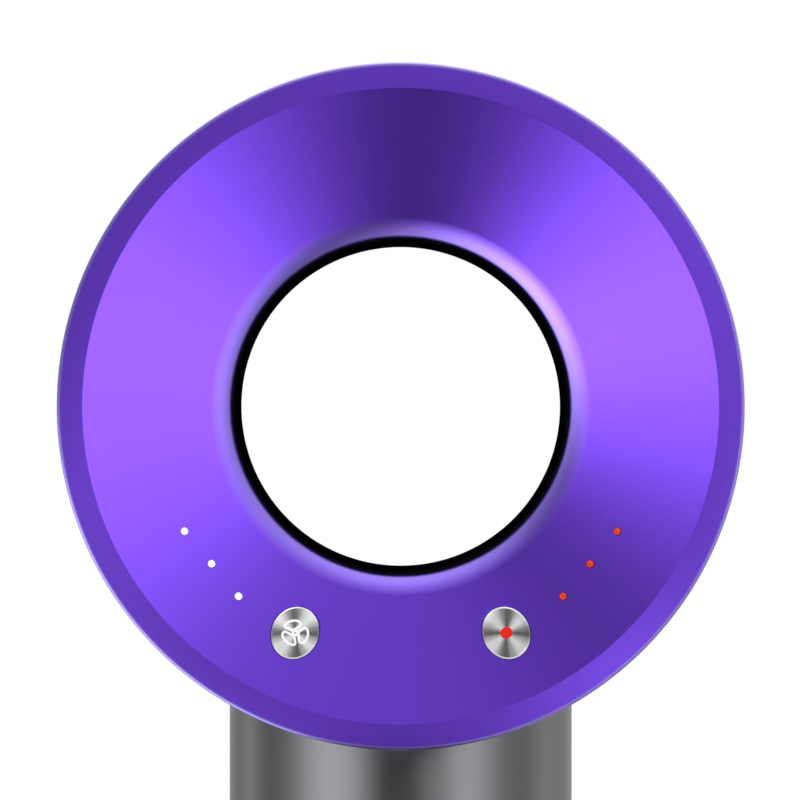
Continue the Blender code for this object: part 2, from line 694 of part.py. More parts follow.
def heater(head):
    """Mica frame round the liner, and the resistance wire that lies in its notches."""
    inner = LINER_OUTER + GAP
    sleeve = inner + SLEEVE_WALL
    end = HEATER_START + HEATER_LENGTH
    middle = (sleeve + SHELL_INNER) / 2
    wave = COIL_WAVE_HEIGHT
    wire = COIL_WIRE_RADIUS
    profile = tube_section(inner, sleeve, HEATER_START, end)
    mica = piece("heater_frame", turned(profile, INNER_SIDES), head, MICA)
    plates = radial_plates(
        HEATER_PLATES, sleeve - ROOT_LAP, SHELL_INNER - GAP, HEATER_PLATE_THICKNESS, HEATER_START, end
    )
    join(mica, helper("heater_plates", plates, head))
    low = middle - wave - 4 * wire
    high = middle + wave + 4 * wire
    floor = end - HEATER_NOTCH
    profile = tube_section(low, high, floor, end + HEATER_NOTCH)
    cut(mica, helper("heater_notch", turned(profile, INNER_SIDES), head))
    curve = bpy.data.curves.new("heater_coil", "CURVE")
    curve.dimensions = "3D"
    curve.bevel_depth = wire
    curve.bevel_resolution = 0
    curve.use_fill_caps = True
    count = 6 * COIL_WAVES
    spline = curve.splines.new("POLY")
    spline.points.add(count - 1)
    for i, point in enumerate(spline.points):
        angle = math.radians(COIL_REACH) * i / (count - 1)
        radius = middle + wave * math.sin(angle * COIL_WAVES)
        point.co = (radius * math.cos(angle), radius * math.sin(angle), floor + wire + GAP, 1.0)
    paint(link("heater_coil", curve, head, (0.0, 0.0, 0.0)), BRIGHT_ALLOY)


def baffle(head):
    """Wall between the electronics and the air, its gasket, and the thermal cut-out on it."""
    gasket_end = STEP_FRONT + GAP + GASKET_THICKNESS
    outer = SHELL_INNER - GAP
    low = STEP_FRONT + GAP
    gasket = tube_section(SPIGOT_INNER, outer, low, gasket_end)
    piece("baffle_gasket", turned(gasket, INNER_SIDES), head, GREY_RUBBER)
    low = gasket_end + GAP
    high = low + BAFFLE_THICKNESS
    plate = tube_section(LINER_OUTER + GAP, outer, low, high)
    piece("air_baffle", turned(plate, INNER_SIDES), head, MATT_BLACK)
    top = high + CUTOUT_HEIGHT
    can = [(0.0, high + GAP), (CUTOUT_RADIUS, high + GAP), (CUTOUT_RADIUS, top - CUTOUT_CHAMFER)]
    can += [(CUTOUT_RADIUS - CUTOUT_CHAMFER, top), (0.0, top)]
    place = polar((LINER_OUTER + SHELL_INNER) / 2, 180.0)
    piece("thermal_cutout", turned(can, SMALL_SIDES), head, BRIGHT_ALLOY, place)


def saddle(name, handle, radius):
    """A cylinder along the head's axis that trims what meets the head from below."""
    reach = HANDLE_RADIUS + SADDLE_MARGIN
    bm = prism(circle(radius, SADDLE_SIDES), -reach, reach)
    tool = helper(name, bm, handle, (0.0, 0.0, HEAD_AXIS_Z))
    tool.rotation_euler = (math.radians(-90), 0.0, 0.0)
    return tool


def handle_tube(handle, front):
    """Grip tube, trimmed to the head's barrel, with the openings of the front controls."""
    profile = [(HANDLE_INNER, TUBE_BASE), (HANDLE_RADIUS, TUBE_BASE)]
    top = HEAD_AXIS_Z - HEAD_RADIUS / 2
    profile += [(HANDLE_RADIUS, top), (HANDLE_INNER, top)]
    tube = piece("handle_tube", turned(profile, HANDLE_SIDES), handle, SATIN_GREY)
    slot = prism(stadium(SLIDER_WIDTH + 2 * GAP, SLIDER_OPEN_HEIGHT), HOLDER_BACK, 2 * HANDLE_RADIUS)
    slot_tool = helper("slider_slot", slot, front, (0.0, -slider_middle(), 0.0))
    hole = prism(circle(COOL_BUTTON_RADIUS + GAP, BUTTON_SIDES), HOLDER_BACK, 2 * HANDLE_RADIUS)
    hole_tool = helper("cool_button_hole", hole, front, (0.0, -COOL_BUTTON_Z, 0.0))
    cut(tube, saddle("tube_saddle", handle, HEAD_RADIUS + GAP), slot_tool, hole_tool)


def slider_middle():
    return SLIDER_BASE_Z + SLIDER_OPEN_HEIGHT / 2


def neck_duct(handle, shell):
    """Short duct from the handle into the head, through a hole in the head's barrel."""
    inner = NECK_RADIUS - NECK_WALL
    low = NECK_FLANGE_Z
    top = HEAD_AXIS_Z - HEAD_RADIUS / 2
    flange = low + NECK_FLANGE
    profile = [(inner, low), (HANDLE_INNER - GAP, low), (HANDLE_INNER - GAP, flange)]
    profile += [(NECK_RADIUS, flange), (NECK_RADIUS, top), (inner, top)]
    duct = piece("neck_duct", turned(profile, INNER_SIDES), handle, MATT_BLACK)
    cut(duct, saddle("neck_saddle", handle, SHELL_INNER))
    hole = prism(circle(NECK_RADIUS + GAP, INNER_SIDES), low, top)
    cut(shell, helper("neck_hole", hole, handle))


def on_grip(radius):
    """Height function that follows the handle's round front."""
    return lambda x, y: math.sqrt(radius * radius - x * x)


def power_slider(front):
    """Slide switch: a pad in its slot, a flange that closes the slot, and a finger into the switch."""
    pad = stadium(SLIDER_WIDTH, SLIDER_HEIGHT)
    trim = stadium(SLIDER_WIDTH - 2 * CONTROL_EDGE, SLIDER_HEIGHT - 2 * CONTROL_EDGE)
    rings = [
        [(x, y, on_grip(HANDLE_RADIUS + CONTROL_PROUD)(x, y)) for x, y in trim],
        [(x, y, on_grip(HANDLE_RADIUS + CONTROL_PROUD / 2)(x, y)) for x, y in pad],
        [(x, y, on_grip(FLANGE_OUTER - ROOT_LAP)(x, y)) for x, y in pad],
    ]
    slider = piece("power_slider", loft(bmesh.new(), rings), front, MATT_BLACK, (0.0, -PAD_MIDDLE, 0.0))
    half = SLIDER_WIDTH / 2 + CONTROL_FLANGE
    span = math.degrees(math.asin(half / FLANGE_OUTER))
    section = arc((0, 0), FLANGE_OUTER, 90 - span, 90 + span, 6)
    section += arc((0, 0), FLANGE_INNER, 90 + span, 90 - span, 6)
    low = PAD_MIDDLE - SLIDER_HEIGHT / 2 - SLIDER_FLANGE_LAP
    high = PAD_MIDDLE + SLIDER_HEIGHT / 2 + SLIDER_FLANGE_LAP
    flange = helper("slider_flange", prism(section, low, high), front.parent)
    finger = block(
        (-FINGER_WIDTH / 2, HOLDER_BACK - FINGER_REACH, PAD_MIDDLE - FINGER_HEIGHT / 2),
        (FINGER_WIDTH / 2, FLANGE_INNER + ROOT_LAP, PAD_MIDDLE + FINGER_HEIGHT / 2),
    )
    join(slider, flange, helper("slider_finger", finger, front.parent))


def power_switch(handle):
    """Switch body behind the slider, with a channel for its finger."""
    half = POWER_SWITCH_WIDTH / 2
    low = (-half, SWITCH_BOARD_FRONT + GAP, PAD_MIDDLE - POWER_SWITCH_MARGIN)
    high = (half, HOLDER_BACK - GAP, PAD_MIDDLE + SLIDER_TRAVEL + POWER_SWITCH_MARGIN)
    body = piece("power_switch", block(low, high), handle, MATT_BLACK)
    channel = finger_path(HOLDER_BACK - FINGER_REACH - GAP, HOLDER_BACK)
    cut(body, helper("switch_channel", channel, handle))


def finger_path(back, front):
    """The space that the slider's finger sweeps, with its clearance."""
    half = FINGER_WIDTH / 2 + GAP
    reach = FINGER_HEIGHT / 2 + GAP
    return block((-half, back, PAD_MIDDLE - reach), (half, front, PAD_MIDDLE + reach + SLIDER_TRAVEL))


def cool_button(front):
    """Round cool-shot button with its flange and stem, its switch and the switch's plunger."""
    place = (0.0, -COOL_BUTTON_Z, 0.0)
    bottom = SWITCH_BOARD_FRONT + GAP
    top = bottom + SWITCH_HEIGHT
    plunger_end = top + COOL_BUTTON_TRAVEL + TRAVEL_MARGIN
    stem_end = plunger_end + GAP
    cap = circle(COOL_BUTTON_RADIUS, BUTTON_SIDES)
    trim = circle(COOL_BUTTON_RADIUS - CONTROL_EDGE, BUTTON_SIDES)
    flange = circle(COOL_BUTTON_RADIUS + CONTROL_FLANGE, BUTTON_SIDES)
    stem = circle(COOL_BUTTON_STEM, BUTTON_SIDES)
    flange_face = on_grip(FLANGE_OUTER)
    flat = flange_face(COOL_BUTTON_RADIUS + CONTROL_FLANGE, 0.0) - BUTTON_FLANGE
    steps = [
        (trim, on_grip(HANDLE_RADIUS + CONTROL_PROUD)),
        (cap, on_grip(HANDLE_RADIUS + CONTROL_PROUD / 2)),
        (cap, flange_face),
        (flange, flange_face),
        (flange, flat),
        (stem, flat),
        (stem, stem_end),
    ]
    piece("cool_button", stepped_pin(steps), front, MATT_BLACK, place)
    piece("cool_switch", switch_body(bottom, top), front, MATT_BLACK, place)
    plunger = prism(circle(PLUNGER_RADIUS, PIN_SIDES), bottom + COOL_BUTTON_TRAVEL + GAP, plunger_end)
    piece("cool_plunger", plunger, front, SPUN_STEEL, place)


def switch_holder(handle):
    """Bracket in the handle's front: it guides the slider and the button and carries their board."""
    half = HOLDER_WIDTH / 2
    cheek = half - HOLDER_CHEEK
    span = math.degrees(math.asin(half / HOLDER_FRONT))
    section = arc((0, 0), HOLDER_FRONT, 90 - span, 90 + span, 8)
    section += [(-half, SWITCH_BOARD_BACK), (-cheek, SWITCH_BOARD_BACK), (-cheek, HOLDER_BACK)]
    section += [(cheek, HOLDER_BACK), (cheek, SWITCH_BOARD_BACK), (half, SWITCH_BOARD_BACK)]
    holder = piece("switch_holder", prism(section, HOLDER_BASE_Z, HOLDER_TOP_Z), handle, MATT_BLACK)
    span = math.degrees(math.asin(cheek / HOLDER_FRONT))
    pad = arc((0, 0), HANDLE_INNER - GAP, 90 - span, 90 + span, 8)
    pad += arc((0, 0), HOLDER_FRONT - ROOT_LAP, 90 + span, 90 - span, 8)
    flange_top = SLIDER_BASE_Z + SLIDER_HEIGHT + SLIDER_FLANGE_LAP + SLIDER_TRAVEL + 2 * GAP
    button_edge = COOL_BUTTON_RADIUS + CONTROL_FLANGE + GAP
    flange_low = SLIDER_BASE_Z - SLIDER_FLANGE_LAP
    levels = [
        (HOLDER_BASE_Z, COOL_BUTTON_Z - button_edge),
        (COOL_BUTTON_Z + button_edge, flange_low),
        (flange_top, HOLDER_TOP_Z),
    ]
    for i, (low, high) in enumerate(levels):
        join(holder, helper(f"holder_pad_{i}", prism(pad, low, high), handle))
    behind = HOLDER_BACK - HOLDER_CHEEK
    slot = finger_path(behind, HANDLE_RADIUS)
    well = block(
        (-button_edge, behind, COOL_BUTTON_Z - button_edge),
        (button_edge, HANDLE_RADIUS, COOL_BUTTON_Z + button_edge),
    )
    cut(holder, helper("holder_slot", slot, handle), helper("holder_well", well, handle))
    board = block(
        (-cheek + GAP, SWITCH_BOARD_BACK, HOLDER_BASE_Z), (cheek - GAP, SWITCH_BOARD_FRONT, HOLDER_TOP_Z)
    )
    piece("switch_board", board, handle, BOARD_GREEN)


def motor_mount(handle):
    """Ribbed rubber sleeve that carries the motor in the handle."""
    outer = HANDLE_INNER - GAP
    inner = SHROUD_RADIUS + GAP
    valley = inner + MOUNT_WALL
    pitch = (MOTOR_HEIGHT - MOUNT_RIB) / (MOUNT_RIBS - 1)
    profile = [(SHROUD_INNER, MOUNT_BASE)]
    for i in range(MOUNT_RIBS):
        low = MOUNT_BASE + pitch * i
        high = low + MOUNT_RIB
        if i:
            profile.append((valley, low - MOUNT_RIB_CHAMFER))
        profile += [(outer, low), (outer, high)]
        if i < MOUNT_RIBS - 1:
            profile.append((valley, high + MOUNT_RIB_CHAMFER))
    profile += [(inner, MOUNT_TOP), (inner, SHROUD_BASE - GAP), (SHROUD_INNER, SHROUD_BASE - GAP)]
    piece("motor_mount", turned(profile, INNER_SIDES), handle, GREY_RUBBER)


def twisted_blades(count, thickness, low, high, sweep, root, tip, stations=4):
    """Blades swept round the handle's axis as they rise. Root and tip radii may follow the height."""
    bm = bmesh.new()
    for blade in range(count):
        rings = []
        for i in range(stations):
            part = i / (stations - 1)
            height = low + (high - low) * part
            angle = math.tau * blade / count + math.radians(sweep) * part ** BLADE_CURVE
            ring = []
            for radius, side in ((root(height), -1), (tip, -1), (tip, 1), (root(height), 1)):
                turn = angle + side * thickness / 2 / radius
                ring.append((radius * math.cos(turn), radius * math.sin(turn), height))
            rings.append(ring)
        loft(bm, rings)
    return bm


def motor(handle):
    """Frame with its diffuser vanes, the stator, and the bearings of the rotor."""
    profile = [(SHROUD_INNER, SHROUD_BASE), (SHROUD_RADIUS, SHROUD_BASE)]
    profile += [(SHROUD_RADIUS, SHROUD_TOP), (SHROUD_INNER, SHROUD_TOP)]
    shroud = piece("motor_frame", turned(profile, INNER_SIDES), handle, MATT_BLACK)
    hub = [(HUB_INNER, HUB_BASE), (HUB_RADIUS, HUB_BASE), (HUB_RADIUS, HUB_TOP), (BEARING_SEAT, HUB_TOP)]
    hub += [(BEARING_SEAT, PLATE_BASE), (HUB_INNER, PLATE_BASE)]
    vanes = twisted_blades(
        DIFFUSER_VANES, DIFFUSER_VANE, HUB_BASE + DIFFUSER_START, HUB_TOP - DIFFUSER_END, DIFFUSER_SWEEP,
        lambda height: HUB_RADIUS - ROOT_LAP, SHROUD_INNER + ROOT_LAP, stations=3,
    )
    hub_tool = helper("motor_hub", turned(hub, INNER_SIDES), handle)
    join(shroud, helper("diffuser_vanes", vanes, handle), hub_tool)
    carrier = tube_section(BEARING_SEAT, CORE_OUTER, HUB_BASE, CARRIER_TOP)
    piece("bearing_carrier", turned(carrier, INNER_SIDES), handle, BRIGHT_ALLOY)
    for name, base in (("lower_bearing", HUB_BASE), ("upper_bearing", HUB_TOP - BEARING_HEIGHT)):
        ring = tube_section(SHAFT_CLEAR, BEARING_OUTER, base, base + BEARING_HEIGHT)
        piece(name, turned(ring, SMALL_SIDES), handle, SPUN_STEEL)
    sides = 4 * TEETH
    outer = circle(CORE_OUTER, sides)
    inner = []
    for i, (x, y) in enumerate(circle(1.0, sides)):
        radius = TOOTH_RADIUS if i % 4 < 2 else CORE_OUTER - YOKE_WALL
        inner.append((radius * x, radius * y))
    piece("stator_core", ring_prism(outer, inner, CORE_BASE, CORE_TOP), handle, DARK_STEEL)
    ends = (("lower_winding", CORE_BASE - GAP - WINDING_HEIGHT), ("upper_winding", CORE_TOP + GAP))
    for name, base in ends:
        inner = TOOTH_RADIUS + WINDING_BULGE / 2
        outer = CORE_OUTER - WINDING_BULGE
        top = base + WINDING_HEIGHT
        crown = (CORE_OUTER - GAP, (base + top) / 2)
        ring = [(inner, base), (outer, base), crown, (outer, top), (inner, top)]
        piece(name, turned(ring, INNER_SIDES), handle, COPPER)


def rotor(handle):
    """What spins: the shaft, its magnet and the impeller, whose swept blades grow out of its hub."""
    low = IMPELLER_BASE - SHAFT_NOSE
    high = HUB_TOP + SHAFT_TAIL
    shaft = [(0.0, low), (SHAFT_RADIUS, low), (SHAFT_RADIUS, high), (0.0, high)]
    piece("rotor_shaft", turned(shaft, SMALL_SIDES), handle, BRIGHT_ALLOY)
    outer = TOOTH_RADIUS - TIP_CLEARANCE
    magnet = tube_section(SHAFT_CLEAR, outer, CORE_BASE, CORE_TOP)
    piece("rotor_magnet", turned(magnet, SMALL_SIDES), handle, DARK_STEEL)
    shoulder = HUB_RADIUS - IMPELLER_STEP

    def hub_radius(height):
        part = (height - IMPELLER_BASE) / (IMPELLER_TOP - IMPELLER_BASE)
        return IMPELLER_NOSE + (shoulder - IMPELLER_NOSE) * part ** HUB_CURVE

    rise = (IMPELLER_TOP - IMPELLER_BASE) / HUB_STEPS
    heights = [IMPELLER_BASE + rise * i for i in range(HUB_STEPS + 1)]
    profile = [(SHAFT_CLEAR, IMPELLER_BASE)]
    profile += [(hub_radius(height), height) for height in heights]
    profile += [(SHAFT_CLEAR, IMPELLER_TOP)]
    impeller = piece("impeller", turned(profile, INNER_SIDES), handle, BRIGHT_ALLOY)
    blades = twisted_blades(
        ROTOR_BLADES, BLADE_THICKNESS, IMPELLER_BASE + BLADE_MARGIN, IMPELLER_TOP - BLADE_MARGIN, BLADE_SWEEP,
        lambda height: hub_radius(height) - ROOT_LAP, SHROUD_INNER - TIP_CLEARANCE,
    )
    join(impeller, helper("impeller_blades", blades, handle))


def inlet_frame(handle):
    """Basket at the foot of the handle: base, ribs, and the collar that plugs into the tube."""
    hole = GLAND_BORE + GLAND_WALL + GAP
    boss = CAGE_FLOOR_HOLE - GAP
    profile = [(hole, 0.0), (boss, 0.0), (boss, BASE_LOW), (RIB_OUTER, BASE_LOW), (RIB_OUTER, BASE_TOP)]
    profile += [(hole, BASE_TOP)]
    basket = piece("inlet_frame", turned(profile, HANDLE_SIDES), handle, MATT_BLACK)
    ribs = radial_plates(
        BASKET_RIBS, RIB_INNER, RIB_OUTER - FIT, BASKET_RIB_WIDTH, BASE_TOP - ROOT_LAP, COLLAR_BASE + ROOT_LAP
    )
    outer = HANDLE_INNER - GAP
    low = COLLAR_BASE
    collar = [(RIB_INNER - FIT, low), (RIB_OUTER, low), (RIB_OUTER, CAGE_HEIGHT), (outer, TUBE_BASE + GAP)]
    collar += [(outer, COLLAR_TOP), (RIB_INNER - FIT, COLLAR_TOP)]
    collar_tool = helper("inlet_collar", turned(collar, HANDLE_SIDES), handle)
    join(basket, helper("inlet_ribs", ribs, handle), collar_tool)
    low = BASE_TOP + GAP
    mesh = tube_section(SCREEN_INNER, SCREEN_OUTER, low, COLLAR_BASE + SCREEN_LAP)
    piece("filter_screen", turned(mesh, HANDLE_SIDES), handle, GREY_MESH)
    flange = hole + GLAND_FLANGE
    outer = GLAND_BORE + GLAND_WALL
    high = BASE_TOP + GLAND_HEIGHT
    gland = [(GLAND_BORE, GLAND_RECESS), (outer, GLAND_RECESS), (outer, low), (flange, low)]
    gland += [(flange, BASE_TOP + GLAND_FLANGE_HEIGHT), (outer - GLAND_TAPER, high), (GLAND_BORE, high)]
    piece("cable_gland", turned(gland, SMALL_SIDES), handle, GREY_RUBBER)


def filter_cage(handle):
    """Slotted sleeve that pulls down off the handle: a wall of cells, some of them left open."""
    zone = CAGE_SLOT_ROWS * CAGE_SLOT_HEIGHT + (CAGE_SLOT_ROWS - 1) * CAGE_SLOT_BAR
    start = (CAGE_HEIGHT - zone) / 2 + CAGE_SLOT_RISE
    levels = [0.0]
    for row in range(CAGE_SLOT_ROWS):
        low = start + row * (CAGE_SLOT_HEIGHT + CAGE_SLOT_BAR)
        levels += [low, low + CAGE_SLOT_HEIGHT]
    levels.append(CAGE_HEIGHT)
    bm = bmesh.new()

    def ring(radius, height):
        return [bm.verts.new((x, y, height)) for x, y in circle(radius, HANDLE_SIDES)]

    def strip(first, second):
        for i in range(HANDLE_SIDES):
            j = (i + 1) % HANDLE_SIDES
            bm.faces.new((first[i], first[j], second[j], second[i]))

    outer = [ring(HANDLE_RADIUS, height) for height in levels]
    inner = [ring(CAGE_INNER, max(height, CAGE_FLOOR)) for height in levels]
    for row in range(len(levels) - 1):
        for i in range(HANDLE_SIDES):
            j = (i + 1) % HANDLE_SIDES
            wall = [outer[row][i], outer[row][j], outer[row + 1][j], outer[row + 1][i]]
            back = [inner[row][i], inner[row][j], inner[row + 1][j], inner[row + 1][i]]
            if row % 2 == 1 and (i + row // 2) % 2 == 0:
                for a in range(4):
                    b = (a + 1) % 4
                    bm.faces.new((wall[a], wall[b], back[b], back[a]))
            else:
                bm.faces.new(wall)
                bm.faces.new(back)
    strip(outer[-1], inner[-1])
    floor_low = ring(CAGE_FLOOR_HOLE, 0.0)
    floor_high = ring(CAGE_FLOOR_HOLE, CAGE_FLOOR)
    strip(outer[0], floor_low)
    strip(floor_low, floor_high)
    strip(floor_high, inner[0])
    bmesh.ops.recalc_face_normals(bm, faces=bm.faces)
    piece("filter_cage", bm, handle, SATIN_GREY)


def power_electronics(handle):
    """Power board standing in the inlet basket, with its capacitor and its heat sink."""
    half = POWER_BOARD_WIDTH / 2
    back = RIB_INNER - POWER_BOARD_SETBACK
    face = back + POWER_BOARD_THICKNESS
    low = BASE_TOP + GAP
    top = COLLAR_BASE - POWER_BOARD_CLEARANCE
    piece("power_board", block((-half, back, low), (half, face, top)), handle, BOARD_GREEN)
    can = circle(CAPACITOR_RADIUS, SMALL_SIDES)
    place = (0.0, back - GAP - CAPACITOR_RADIUS, low + CAPACITOR_RISE)
    piece("capacitor", prism(can, 0.0, CAPACITOR_LENGTH), handle, MATT_BLACK, place)
    side = SINK_PITCH * SINK_FINS / 2
    tip = face + SINK_DEPTH
    valley = face + SINK_BASE
    outline = [(-side, face + GAP), (side, face + GAP)]
    for i in reversed(range(SINK_FINS)):
        left = -side + SINK_PITCH * i
        middle = left + SINK_PITCH / 2
        right = left + SINK_PITCH
        outline += [(right, tip), (middle, tip), (middle, valley), (left, valley)]
    piece("heat_sink", prism(outline, 0.0, SINK_LENGTH), handle, BRIGHT_ALLOY, (0.0, 0.0, low + SINK_RISE))


def build():
    for obj in list(bpy.data.objects):
        bpy.data.objects.remove(obj)
    head = frame("head_axis", (0.0, 0.0, HEAD_AXIS_Z), turn=-90)
    handle = frame("handle_axis", (0.0, -HANDLE_SETBACK, 0.0))
    front = frame("handle_front", (0.0, 0.0, 0.0), handle, turn=-90)
    rear_cover(head)
    face_button("speed_button", head, -1)
    face_button("heat_button", head, 1)
    face_switch("speed_switch", "speed_plunger", head, -1)
    face_switch("heat_switch", "heat_plunger", head, 1)
    for i in range(LED_COUNT):
        light_pipe(f"speed_led_{i + 1}", head, led_place(i, -1), CLEAR_WHITE)
        light_pipe(f"heat_led_{i + 1}", head, led_place(i, 1), CLEAR_RED)
    control_board(head)
    shell = head_shell(head)
    bore_liner(head)
    front_ring(head)
    outlet_vanes(head)
    heater(head)
    baffle(head)
    handle_tube(handle, front)
    neck_duct(handle, shell)
    power_slider(front)
    power_switch(handle)
    cool_button(front)
    switch_holder(handle)
    motor_mount(handle)
    motor(handle)
    rotor(handle)
    inlet_frame(handle)
    filter_cage(handle)
    power_electronics(handle)


build()
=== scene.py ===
"""Looks of a ring-head hair dryer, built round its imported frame.

Fine shells, controls and the slotted filter cage stand for CAD nodes, and every node that stays
gets a procedural finish. Metres, +Z up, the rear face with its buttons towards -Y.
"""

import json
import math

import bmesh
import bpy
from mathutils import Matrix, Vector

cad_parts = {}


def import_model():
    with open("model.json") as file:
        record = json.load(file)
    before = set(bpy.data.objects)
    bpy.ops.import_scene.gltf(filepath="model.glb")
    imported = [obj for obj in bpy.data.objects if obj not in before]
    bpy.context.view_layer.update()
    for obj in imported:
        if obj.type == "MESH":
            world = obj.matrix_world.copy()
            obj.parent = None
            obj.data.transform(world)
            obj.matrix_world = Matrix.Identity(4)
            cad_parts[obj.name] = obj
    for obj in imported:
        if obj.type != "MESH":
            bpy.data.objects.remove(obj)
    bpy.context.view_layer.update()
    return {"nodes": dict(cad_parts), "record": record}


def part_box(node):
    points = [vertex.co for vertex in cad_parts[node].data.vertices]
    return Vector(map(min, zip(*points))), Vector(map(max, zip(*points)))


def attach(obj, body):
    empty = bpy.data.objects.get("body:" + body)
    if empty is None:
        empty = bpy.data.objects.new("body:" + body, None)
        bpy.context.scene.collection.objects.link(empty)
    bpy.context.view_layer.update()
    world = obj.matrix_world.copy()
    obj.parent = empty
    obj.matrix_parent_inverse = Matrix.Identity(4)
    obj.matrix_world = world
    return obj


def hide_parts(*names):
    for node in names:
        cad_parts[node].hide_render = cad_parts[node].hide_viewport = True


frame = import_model()

# Sizes and places read from the frame
COVER_LOW, COVER_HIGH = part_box("rear_cover")
BARREL_LOW, BARREL_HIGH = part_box("head_shell")
FRONT_LOW, FRONT_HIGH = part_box("front_ring")
VANES_LOW, VANES_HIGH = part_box("outlet_vanes")
TUBE_LOW, TUBE_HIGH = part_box("handle_tube")
SLIDER_LOW, SLIDER_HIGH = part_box("power_slider")
COOL_LOW, COOL_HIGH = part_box("cool_button")
CAGE_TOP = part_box("filter_cage")[1].z
SCREEN_LOW, SCREEN_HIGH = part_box("filter_screen")
BASKET_LOW, BASKET_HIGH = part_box("inlet_frame")
GLAND_LOW, GLAND_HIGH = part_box("cable_gland")
HEAD_RADIUS = (COVER_HIGH.x - COVER_LOW.x) / 2
AXIS_Z = (COVER_LOW.z + COVER_HIGH.z) / 2
FRONT = FRONT_HIGH.y
REAR = -FRONT
COVER_SEAM = COVER_HIGH.y
HANDLE_RADIUS = (TUBE_HIGH.x - TUBE_LOW.x) / 2
HANDLE_Y = (TUBE_LOW.y + TUBE_HIGH.y) / 2
SCREEN_OUTER = (SCREEN_HIGH.x - SCREEN_LOW.x) / 2
COLLAR_OUTER = (BASKET_HIGH.x - BASKET_LOW.x) / 2
SLIDER_MIDDLE = (SLIDER_LOW.z + SLIDER_HIGH.z) / 2
COOL_Z = (COOL_LOW.z + COOL_HIGH.z) / 2

# Driving dimensions of the head, which the boxes don't give
GAP = 0.0003
BORE_RADIUS = 0.01888
BEVEL_WIDTH = 0.00297
FACE_ANGLE = 22.0
LIP_ROLL = 0.009
LIP_ROUND = 0.00025
LIP_ANGLE = 7.0
EDGE_ROUND = 0.0012
RIM_ROUND = 0.00025
SEAM_ROUND = 0.00018
COVER_WALL = 0.0015
HEAD_WALL = 0.0016
COLLAR_LENGTH = 0.006
LINER_WALL = 0.00142
LIP_SHARE = 0.48
LINER_SOCKET = 0.003
LINER_TAPER = 0.002
SPIGOT_STEP = 0.002
FRONT_WALL = 0.0014
FRONT_ROUND = 0.001
OUTLET_GAP = 0.0056
OUTLET_LIP = 0.004
OUTLET_ROUND = 0.004
OUTLET_EDGE = 0.0007
THROAT_FLARE = 0.003
SPIGOT_LENGTH = 0.0036
VANE_COUNT = 9
VANE_THICKNESS = 0.0008
SLEEVE_WALL = 0.0008
NECK_RADIUS = 0.0152

# Driving dimensions of the controls
BUTTON_WIDTH = 0.00535
BUTTON_LENGTH = 0.0061
BUTTON_PROUD = 0.0004
BUTTON_EDGE = 0.0002
BUTTON_GROOVE = BUTTON_EDGE / 6
BUTTON_RINGS = (0.97, 0.75, 0.5, 0.25, 0.08)
BUTTON_DEPTH = 0.0016
BUTTON_CLEARANCE = 0.00008
LENS_RADIUS = 0.00042
LENS_PROUD = 0.00012
LENS_CLEARANCE = 0.00003
HOLE_BREAK = 0.00004
SYMBOL_RADIUS = 0.00162
SYMBOL_STROKE = 0.00026
SYMBOL_HEIGHT = 0.00003
HEAT_DOT_RADIUS = 0.0007
SLIDER_WIDTH = 0.0078
SLIDER_HEIGHT = 0.0124
SLIDER_TRAVEL = 0.004
COOL_RADIUS = 0.0035
CONTROL_PROUD = 0.0006
CONTROL_EDGE = 0.0005
CONTROL_FLANGE = 0.0012
SLIDER_DISH = 0.0003
SLIDER_RIBS = 5
SLIDER_RIB_PITCH = 0.0013
SLIDER_RIB_WIDTH = 0.00064
SLIDER_RIB_HEIGHT = 0.00026
SLIDER_RIB_INSET = 0.0014
BAR_END = 0.02
COOL_DISH = 0.00035
COOL_SYMBOL_RADIUS = 0.0017
COOL_SYMBOL_STROKE = 0.00024
FLAKE_FORK = 0.53
FLAKE_SIDE = 0.28
FLAKE_TIP = 0.83

# Driving dimensions of the handle
HANDLE_WALL = 0.0016
SADDLE_GAP = 0.00005
CAGE_WALL = 0.0013
CAGE_FLOOR = 0.0016
CAGE_FLOOR_HOLE = 0.012
CAGE_COLUMNS = 28
CAGE_SPLIT = 8
CAGE_ROWS = 4
CAGE_SLOT_HEIGHT = 0.0066
CAGE_SLOT_BAR = 0.003
CAGE_SLOT_RISE = 0.001
CAGE_SLOT_MARGIN = 0.00025
CAGE_SLOT_BREAK = 0.00015
CAGE_ROUND = 0.0008
SCREEN_WALL = 0.0005
SCREEN_PITCH = 0.00042
BASKET_BASE = 0.0026
BASKET_RIBS = 6
BASKET_RIB_DEPTH = 0.0018
BASKET_RIB_WIDTH = 0.0024
BASKET_COLLAR_DROP = 0.003
GLAND_BORE = 0.0037
GLAND_WALL = 0.0023
GLAND_FLANGE_HEIGHT = 0.0018
GLAND_TAPER = 0.0008
GLAND_RIDGES = 3

# Broken edges
THIN_EDGE = 0.0001
FINE_EDGE = 0.0002
SOFT_EDGE = 0.0003
GRIP_BREAK = 0.00015
BREAK_SHARE = 0.3

# Facets
HEAD_SIDES = 288
HANDLE_SIDES = 224
SMALL_SIDES = 96
LENS_SIDES = 40
ARC_STEP = math.radians(7.5)
SHARP = 28.0
WELD_DISTANCE = 1e-7
SAME_SURFACE = 0.9995

HEAD = Matrix.Translation((0.0, 0.0, AXIS_Z)) @ Matrix.Rotation(-math.pi / 2, 4, "X")
HANDLE = Matrix.Translation((0.0, HANDLE_Y, 0.0))
GRIP_FRONT = HANDLE @ Matrix.Rotation(-math.pi / 2, 4, "X")

